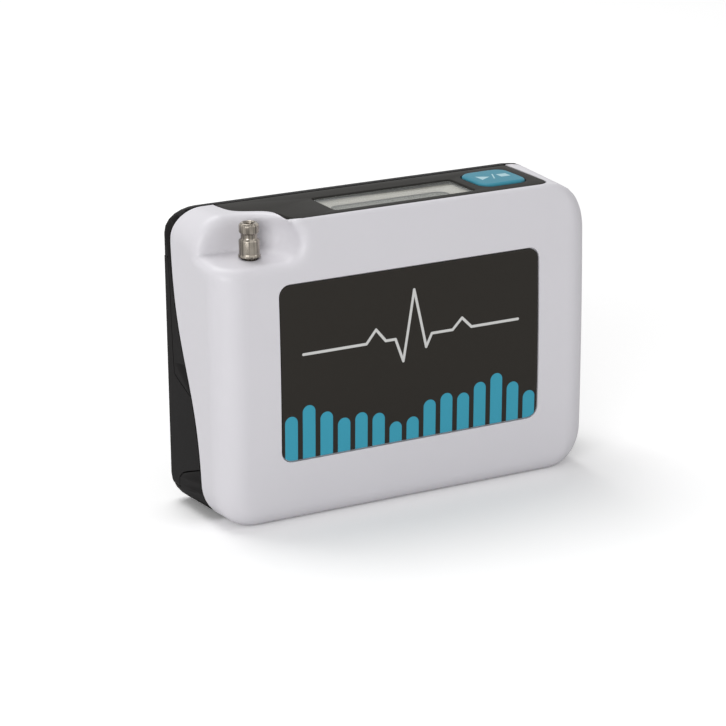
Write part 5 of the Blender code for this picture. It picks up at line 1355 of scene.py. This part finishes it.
@dataclass(frozen=True)
class FrontLabel(Group):
    """Dark overlay in a shallow recess of the front."""

    width: float = 67.0 * MM
    height: float = 41.2 * MM
    corner: float = 2.5 * MM
    centre: float = 35.8 * MM
    sunk: float = 0.1 * MM
    thickness: float = 0.4 * MM
    depth: float = 0.8 * MM
    gap: float = 0.3 * MM
    edge: float = 0.1 * MM
    chamfer: float = 0.03 * MM
    overrun: float = 3.0 * MM
    corner_steps: int = 3
    steps: tuple[int, int] = (12, 24)
    crease: float = 50.0

    def at(self, station: Station, grow: float) -> Point2:
        """X and Z of a station, on the label's edge grown by a length."""
        x, z = station.flat(self.width + 2 * grow, self.height + 2 * grow, self.corner + grow)
        return x, z + self.centre

    def sheet(self, grow: float, depth: float) -> Sheet:
        """A face that follows the front.

        Args:
            grow: How much larger than the label it is.
            depth: How far behind the front it lies.

        Returns:
            The sheet.
        """
        corner = self.corner + grow
        arcs = (corner_share(self.width + 2 * grow, corner), corner_share(self.height + 2 * grow, corner))
        columns, rows = (cornered(arc, self.corner_steps, steps) for arc, steps in zip(arcs, self.steps))
        return Sheet(columns, rows, arcs, lambda station: self.at(station, grow),
                     lambda x, z: Vector((x, self.case.front + depth + self.case.crown(z), z)))

    def recess(self) -> Part:
        """Space of the label's recess."""
        def ahead(station: Station) -> Vector:
            """The recess's mouth, in front of the case."""
            x, z = self.at(station, self.gap)
            return Vector((x, self.case.front - self.overrun, z))

        return Part("recess", self.sheet(self.gap, self.depth).ring(ahead).close().mesh)

    def build(self) -> None:
        """Makes the label with a softened edge."""
        sheet = self.sheet(-self.edge, self.sunk)

        def ring(grow: float, depth: float) -> None:
            """Adds a ring of a size and depth."""
            def place(station: Station) -> Vector:
                """One place on it."""
                x, z = self.at(station, grow)
                return Vector((x, self.case.front + depth + self.case.crown(z), z))
            sheet.ring(place)

        for grow, depth in ((-self.chamfer, self.chamfer), (0.0, self.edge), (0.0, self.thickness)):
            ring(grow, self.sunk + depth)
        part = Part("front_label_film", sheet.close().mesh, self.finishes["label_film"])
        part.shade(self.crease).mount("case", "label_film", "front_label")


@dataclass(frozen=True)
class Window(Group):
    """Window in the top: lens, pale sloping frame and display."""

    centre: Point2 = (1.0 * MM, -4.2 * MM)
    width: float = 36.6 * MM
    depth: float = 12.4 * MM
    corner: float = 1.0 * MM
    gap: float = 0.3 * MM
    edge: float = 0.15 * MM
    lens_base: float = 70.1 * MM
    lens_top: float = 70.7 * MM
    frame_top: float = 69.8 * MM
    frame_base: float = 64.3 * MM
    flange: float = 1.0 * MM
    slope: tuple[float, float, float] = (3.2 * MM, 2.2 * MM, 0.7 * MM)
    slope_corner: float = 2.4 * MM
    glass_margin: float = 1.0 * MM
    glass_corner: float = 0.3 * MM
    glass_base: float = 67.0 * MM
    glass_top: float = 68.8 * MM
    crease: float = 30.0
    frame_crease: float = 40.0

    def outline(self) -> list[Point2]:
        """The window's edge."""
        return rounded(self.centre, self.width, self.depth, self.corner)

    def ring(self, grow: float | Point2, level: float, corner: float | None = None) -> list[Vector]:
        """A ring about the window's centre.

        Args:
            grow: How much larger than the window on every side, or across and along.
            level: Height.
            corner: Corner radius, the window's own unless given.

        Returns:
            The points.
        """
        wider, deeper = grow if isinstance(grow, tuple) else (grow, grow)
        points = rounded(self.centre, self.width + 2 * wider, self.depth + 2 * deeper, corner or self.corner)
        return [Vector((x, y, level)) for x, y in points]

    def build(self) -> None:
        """Makes lens, frame and display."""
        self.lens()
        self.frame()
        self.glass()

    def lens(self) -> None:
        """Makes the clear lens."""
        edge, top = self.edge, self.lens_top
        levels = ((edge, self.lens_base), (0.0, self.lens_base + edge), (0.0, top - edge),
                  (edge / 3, top - edge / 3), (edge, top))
        part = loft("window_lens", [self.ring(-self.gap - inset, level) for inset, level in levels],
                    self.finishes["clear_plastic"])
        part.shade(self.crease).mount("case", "clear_plastic", "display_lens")

    def frame(self) -> None:
        """Makes the frame, whose last ring is welded to the first."""
        edge, top = self.edge, self.frame_top
        across, along, drop = self.slope
        seat = (self.gap - self.glass_margin, self.gap - self.glass_margin / 2)
        rings = [self.ring(self.flange, self.frame_base), self.ring(self.flange, top),
                 self.ring(-self.gap, top), self.ring(-self.gap - edge, top - edge / 2),
                 self.ring((edge - across, edge - along), top - drop + edge / 2, self.slope_corner),
                 self.ring((-across, -along), top - drop - edge / 2, self.slope_corner),
                 self.ring((-across, -along), self.glass_top + self.gap, self.slope_corner),
                 self.ring(seat, self.glass_top + self.gap), self.ring(seat, self.frame_base)]
        part = loft("window_frame", rings + [rings[0]], self.finishes["frame_plastic"], capped=False)
        mesh = bmesh.new()
        mesh.from_mesh(part.object.data)
        bmesh.ops.remove_doubles(mesh, verts=mesh.verts[:], dist=0.1 * TOLERANCE)
        bmesh.ops.recalc_face_normals(mesh, faces=mesh.faces[:])
        mesh.to_mesh(part.object.data)
        mesh.free()
        part.shade(self.frame_crease).mount("case", "pale_plastic", "display_frame")

    def glass(self) -> None:
        """Makes the display."""
        across, along = -self.glass_margin, -self.glass_margin / 2
        edge, top = self.edge, self.glass_top
        levels = ((0.0, self.glass_base), (0.0, top - edge), (edge, top))
        part = loft("display_plate", [self.ring((across - inset, along - inset), level, self.glass_corner)
                                      for inset, level in levels], self.finishes["display_glass"])
        part.shade(self.crease).mount("case", "display_glass", "lcd_glass")


@dataclass(frozen=True)
class StartKey(Group):
    """Teal key at the right end of the top."""

    width: float = 12.2 * MM
    depth: float = 12.6 * MM
    corner: float = 3.0 * MM
    least_corner: float = 0.5 * MM
    gap: float = 0.3 * MM
    rim_top: float = 71.4 * MM
    crown: float = 0.15 * MM
    edge: float = 0.55 * MM
    edge_rings: int = 5
    corner_steps: int = 4
    steps: int = 8
    crease: float = 40.0
    flange: float = 0.7 * MM
    flange_levels: Point2 = (68.7 * MM, 69.8 * MM)
    post_radius: float = 2.2 * MM
    post_base: float = 68.0 * MM

    def opening(self) -> list[Point2]:
        """Edge of the panel's opening for the key."""
        grow = 2 * self.gap
        return rounded(KEY_CENTRE, self.width + grow, self.depth + grow, self.corner + self.gap)

    def at(self, station: Station, grow: float) -> Point2:
        """X and Y of a station, on the key's edge grown by a length."""
        x, y = station.flat(self.width + 2 * grow, self.depth + 2 * grow,
                            max(self.corner + grow, self.least_corner))
        return x + KEY_CENTRE[0], y + KEY_CENTRE[1]

    def lift(self, x: float, y: float) -> Vector:
        """A place of the crowned top over a place in plan."""
        across, along = (x - KEY_CENTRE[0]) / self.width * 2, (y - KEY_CENTRE[1]) / self.depth * 2
        fall = 1 - (across ** 2 + along ** 2) / 2
        fade = 2 - max(abs(across), abs(along))
        return Vector((x, y, self.rim_top + self.crown * max(fall, 0) * min(1.0, fade)))

    def build(self) -> None:
        """Makes the key with its flange and post."""
        arc = corner_share(self.width, self.corner)
        shares = cornered(arc, self.corner_steps, self.steps)
        sheet = Sheet(shares, shares, (arc, arc), lambda station: self.at(station, -self.edge), self.lift)
        low, high = self.flange_levels
        rings = [(-self.edge * (1 - math.sin(turn)), self.rim_top - self.edge * (1 - math.cos(turn)))
                 for turn in (QUARTER * share for share in even(self.edge_rings)[1:])]
        for grow, level in (*rings, (0.0, high), (self.flange, high), (self.flange, low)):
            sheet.ring(lambda station: Vector((*self.at(station, grow), level)))
        for level in (low, self.post_base):
            sheet.ring(lambda station: Vector((KEY_CENTRE[0] + station.normal.x * self.post_radius,
                                               KEY_CENTRE[1] + station.normal.y * self.post_radius, level)))
        part = Part("start_stop_key", sheet.close().mesh, self.finishes["teal_rubber"])
        part.shade(self.crease).mount("start_button", "teal_rubber", "start_stop_button")


@dataclass(frozen=True)
class HoseNipple(Group):
    """Nickel plated quick connector for the cuff hose, with its barb under the floor.

    The profile is given in millimetres, as radius and height over the base.
    """

    axis = Vector((-37.4 * MM, -7.5 * MM, 0.0))
    base: float = 62.357
    softness: float = 0.12
    steps: int = 56
    crease: float = 50.0
    profile: tuple[Point2, ...] = (
        (2.55, 0.0), (2.55, 0.4), (2.42, 0.5), (2.33, 0.8), (2.33, 3.85), (1.87, 4.3), (1.87, 5.25),
        (2.26, 5.7), (2.26, 7.35), (1.82, 7.8), (1.55, 7.8), (1.15, 7.4), (1.15, 0.0), (0.5, -1.1),
        (0.5, -9.4), (1.0, -9.4), (1.0, -5.92), (1.8, -5.92), (1.8, 0.0))

    def build(self) -> None:
        """Makes the nipple."""
        soft = softened([(radius, self.base + rise) for radius, rise in self.profile], self.softness)
        part = turned("hose_nipple_body", [(radius * MM, height * MM) for radius, height in soft], self.axis,
                      self.finishes["nickel"], self.steps)
        part.shade(self.crease).mount("case", "nickel", "hose_nipple")


@dataclass(frozen=True)
class RatingLabel(Group):
    """Blank label on the back."""

    centre: Point2 = (16.0 * MM, 33.0 * MM)
    width: float = 42.0 * MM
    height: float = 30.0 * MM
    corner: float = 2.0 * MM
    edge: float = 0.06 * MM
    levels: Point2 = (14.1 * MM, 14.4 * MM)
    crease: float = 30.0

    def build(self) -> None:
        """Makes the label with a softened edge."""
        low, high = self.levels
        rings = [[Vector((x, y, z)) for x, z in rounded(self.centre, self.width - 2 * inset,
                                                        self.height - 2 * inset, self.corner)]
                 for y, inset in ((low, 0.0), (high - self.edge, 0.0), (high, self.edge))]
        part = loft("rating_plate", rings, self.finishes["blank_label"])
        part.shade(self.crease).mount("case", "blank_label", "rating_label")


# What keeps its CAD shape


class Skin(Enum):
    """How a CAD node is shown."""

    AS_IS = "as it is"
    SMOOTHED = "as a smooth shaded copy"


@dataclass(frozen=True)
class CarriedNodes:
    """CAD nodes that keep their shape and get a finish."""

    finishes: Finishes
    nodes: dict[str, tuple[str, ...]]
    smoothed: tuple[str, ...] = ("rear_shell", "battery_door")
    flat_angle: float = math.radians(0.02)
    crease: float = 28.0
    face_weight: int = 100

    def build(self) -> None:
        """Dresses the nodes."""
        slots = {item["node"]: item["material_slot"] for item in frame["record"]["subparts"]}
        for finish, names in self.nodes.items():
            material = self.finishes[finish]
            for name in names:
                node = frame["nodes"][name]
                skin = Skin.SMOOTHED if name in self.smoothed else Skin.AS_IS
                if skin is Skin.SMOOTHED:
                    self.smooth_copy(node, material, slots[name])
                else:
                    node.data.materials.clear()
                    node.data.materials.append(material)
                log.info("%s: %s, %s", name, finish, skin.value)

    def smooth_copy(self, node: bpy.types.Object, material: bpy.types.Material, slot: str) -> None:
        """Shows a merged and smooth shaded copy in a node's place, with its flat back filled anew.

        Args:
            node: The CAD node.
            material: Its finish.
            slot: The record's slot.
        """
        mesh = bmesh.new()
        mesh.from_mesh(node.data)
        bmesh.ops.remove_doubles(mesh, verts=mesh.verts[:], dist=TOLERANCE)
        back = max(vert.co.y for vert in mesh.verts) - TOLERANCE
        flat = [face for face in mesh.faces if all(vert.co.y > back for vert in face.verts)]
        bmesh.ops.delete(mesh, geom=flat, context="FACES")
        bmesh.ops.triangle_fill(mesh, edges=[edge for edge in mesh.edges if edge.is_boundary],
                                use_beauty=True, normal=(0, 1, 0))
        bmesh.ops.dissolve_limit(mesh, angle_limit=self.flat_angle, verts=mesh.verts[:], edges=mesh.edges[:])
        part = Part(f"{node.name}_skin", mesh, material, outward=False).shade(self.crease)
        part.modify("WEIGHTED_NORMAL", keep_sharp=True, weight=self.face_weight)
        part.mount(node["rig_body"], slot, node.name)


# Studio


@dataclass(frozen=True)
class Lamp:
    """A soft square lamp that looks at the object."""

    name: str
    place: tuple[float, float, float]
    size: float
    power: float
    target: tuple[float, float, float] = (0.0, 0.0, 0.03)

    def hang(self) -> None:
        """Hangs the lamp."""
        data = bpy.data.lights.new(self.name, "AREA")
        data.size = self.size
        data.energy = self.power
        lamp = bpy.data.objects.new(self.name, data)
        lamp.location = self.place
        aim = Vector(self.target) - Vector(self.place)
        lamp.rotation_euler = aim.to_track_quat("-Z", "Y").to_euler()
        bpy.context.scene.collection.objects.link(lamp)


@dataclass(frozen=True)
class Studio:
    """Floor, lamps, world and camera."""

    eye: tuple[float, float, float] = (-0.2871, -0.5287, 0.2207)
    ahead: tuple[float, float, float] = (0.4485, 0.8409, -0.3027)
    roll: float = math.radians(-0.53)
    lens: float = 133.8
    sensor: float = 36.0
    clip: Point2 = (0.01, 20.0)
    floor_half: float = 4.0
    albedo: Point2 = (0.8, 1.24)
    world_level: float = 0.35
    lamps: tuple[Lamp, ...] = (Lamp("top", (-0.15, 0.6, 1.5), 1.0, 12.5),
                               Lamp("key", (-1.2, -1.09, 0.4), 1.0, 14.0),
                               Lamp("fill", (1.3, -1.0, 0.5), 1.2, 3.0))

    def camera(self) -> None:
        """Puts the camera where the photograph was taken from."""
        data = bpy.data.cameras.new("camera")
        data.lens = self.lens
        data.sensor_width = self.sensor
        data.sensor_fit = "HORIZONTAL"
        data.clip_start, data.clip_end = self.clip
        ahead = Vector(self.ahead).normalized()
        right = ahead.cross(Vector((0, 0, 1))).normalized()
        up = right.cross(ahead)
        right, up = (right * math.cos(self.roll) + up * math.sin(self.roll),
                     up * math.cos(self.roll) - right * math.sin(self.roll))
        turn = Matrix((right, up, -ahead)).transposed().to_4x4()
        camera = bpy.data.objects.new("camera", data)
        camera.matrix_world = Matrix.Translation(self.eye) @ turn
        bpy.context.scene.collection.objects.link(camera)
        bpy.context.scene.camera = camera

    def world(self) -> None:
        """White surroundings, whiter to the camera, in gloss and through glass than to matt surfaces."""
        world = bpy.data.worlds.new("surroundings")
        bpy.context.scene.world = world
        world.use_nodes = True
        nodes, links = world.node_tree.nodes, world.node_tree.links
        nodes.clear()
        path = nodes.new("ShaderNodeLightPath")
        seen = path.outputs["Is Camera Ray"]
        for ray in ("Is Glossy Ray", "Is Transmission Ray"):
            either = nodes.new("ShaderNodeMath")
            either.operation = "MAXIMUM"
            links.new(seen, either.inputs[0])
            links.new(path.outputs[ray], either.inputs[1])
            seen = either.outputs[0]
        strength = nodes.new("ShaderNodeMapRange")
        strength.inputs["To Min"].default_value = self.world_level
        strength.inputs["To Max"].default_value = 1.0
        links.new(seen, strength.inputs["Value"])
        background = nodes.new("ShaderNodeBackground")
        background.inputs["Color"].default_value = (1, 1, 1, 1)
        links.new(strength.outputs[0], background.inputs["Strength"])
        output = nodes.new("ShaderNodeOutputWorld")
        links.new(background.outputs[0], output.inputs["Surface"])

    def floor(self) -> None:
        """A pale floor that keeps the object's shadow, paler to the camera than to the object."""
        mesh = bmesh.new()
        bmesh.ops.create_grid(mesh, x_segments=1, y_segments=1, size=self.floor_half)
        shader = Shader("floor")
        path = shader.node("ShaderNodeLightPath", {})
        lit, seen = ((albedo, albedo, albedo, 1.0) for albedo in self.albedo)
        tone = shader.mix(Value(shader, path.outputs["Is Camera Ray"]), lit, seen)
        shader.set(Base_Color=tone, Roughness=1.0, Specular_IOR_Level=0.0)
        Part("floor", mesh, shader.material).object

    def build(self) -> None:
        """Sets up the whole studio."""
        self.camera()
        self.world()
        self.floor()
        for lamp in self.lamps:
            lamp.hang()
        bpy.context.scene.view_settings.view_transform = "Standard"


def main() -> None:
    """Builds every piece in order."""
    logging.basicConfig(level=logging.INFO, format="%(name)s: %(message)s")
    finishes = {finish.name: finish.material() for finish in FINISHES}
    shared = (CaseForm(), finishes)
    window, key, label = Window(*shared), StartKey(*shared), FrontLabel(*shared)
    panel = TopPanel(*shared, window, key)
    carried = CarriedNodes(finishes, {
        "dark_plastic": ("rear_shell", "battery_door"),
        "pale_plastic": ("air_manifold", "cuff_pressure_sensor", "check_pressure_sensor",
                         "pump_valve_plate"),
        "nickel": ("nipple_nut", "battery_link", "battery_plate"),
        "steel": ("push_switch", "deflate_valve_yoke", "safety_valve_yoke", "deflate_valve_plunger",
                  "safety_valve_plunger", "deflate_valve_spring", "safety_valve_spring", "motor_can",
                  "motor_shaft", "data_port", "backup_cell", "battery_spring_1", "battery_spring_2",
                  "case_screw_1", "case_screw_2", "case_screw_3", "case_screw_4"),
        "dark_metal": ("motor_magnets", "motor_armature"),
        "brass": ("pump_eccentric",),
        "copper": ("deflate_valve_coil", "safety_valve_coil", "display_ribbon"),
        "circuit_board": ("main_board", "display_board"),
        "black_plastic": ("switch_stem", "deflate_valve_cap", "safety_valve_cap", "motor_end_cap",
                          "pump_crankcase", "pump_drive_plate", "pump_cover", "main_chip", "beeper"),
        "black_rubber": ("contact_strip", "nipple_seal", "motor_ring", "pump_diaphragm"),
        "silicone": ("cuff_hose", "pump_hose"),
        "cell_sleeve": ("aa_cell_1", "aa_cell_2"),
    })
    for group in (Studio(), FrontShell(*shared, panel, label), panel, label, window, key,
                  HoseNipple(*shared), RatingLabel(*shared), carried):
        group.build()


if __name__ == "__main__":
    main()
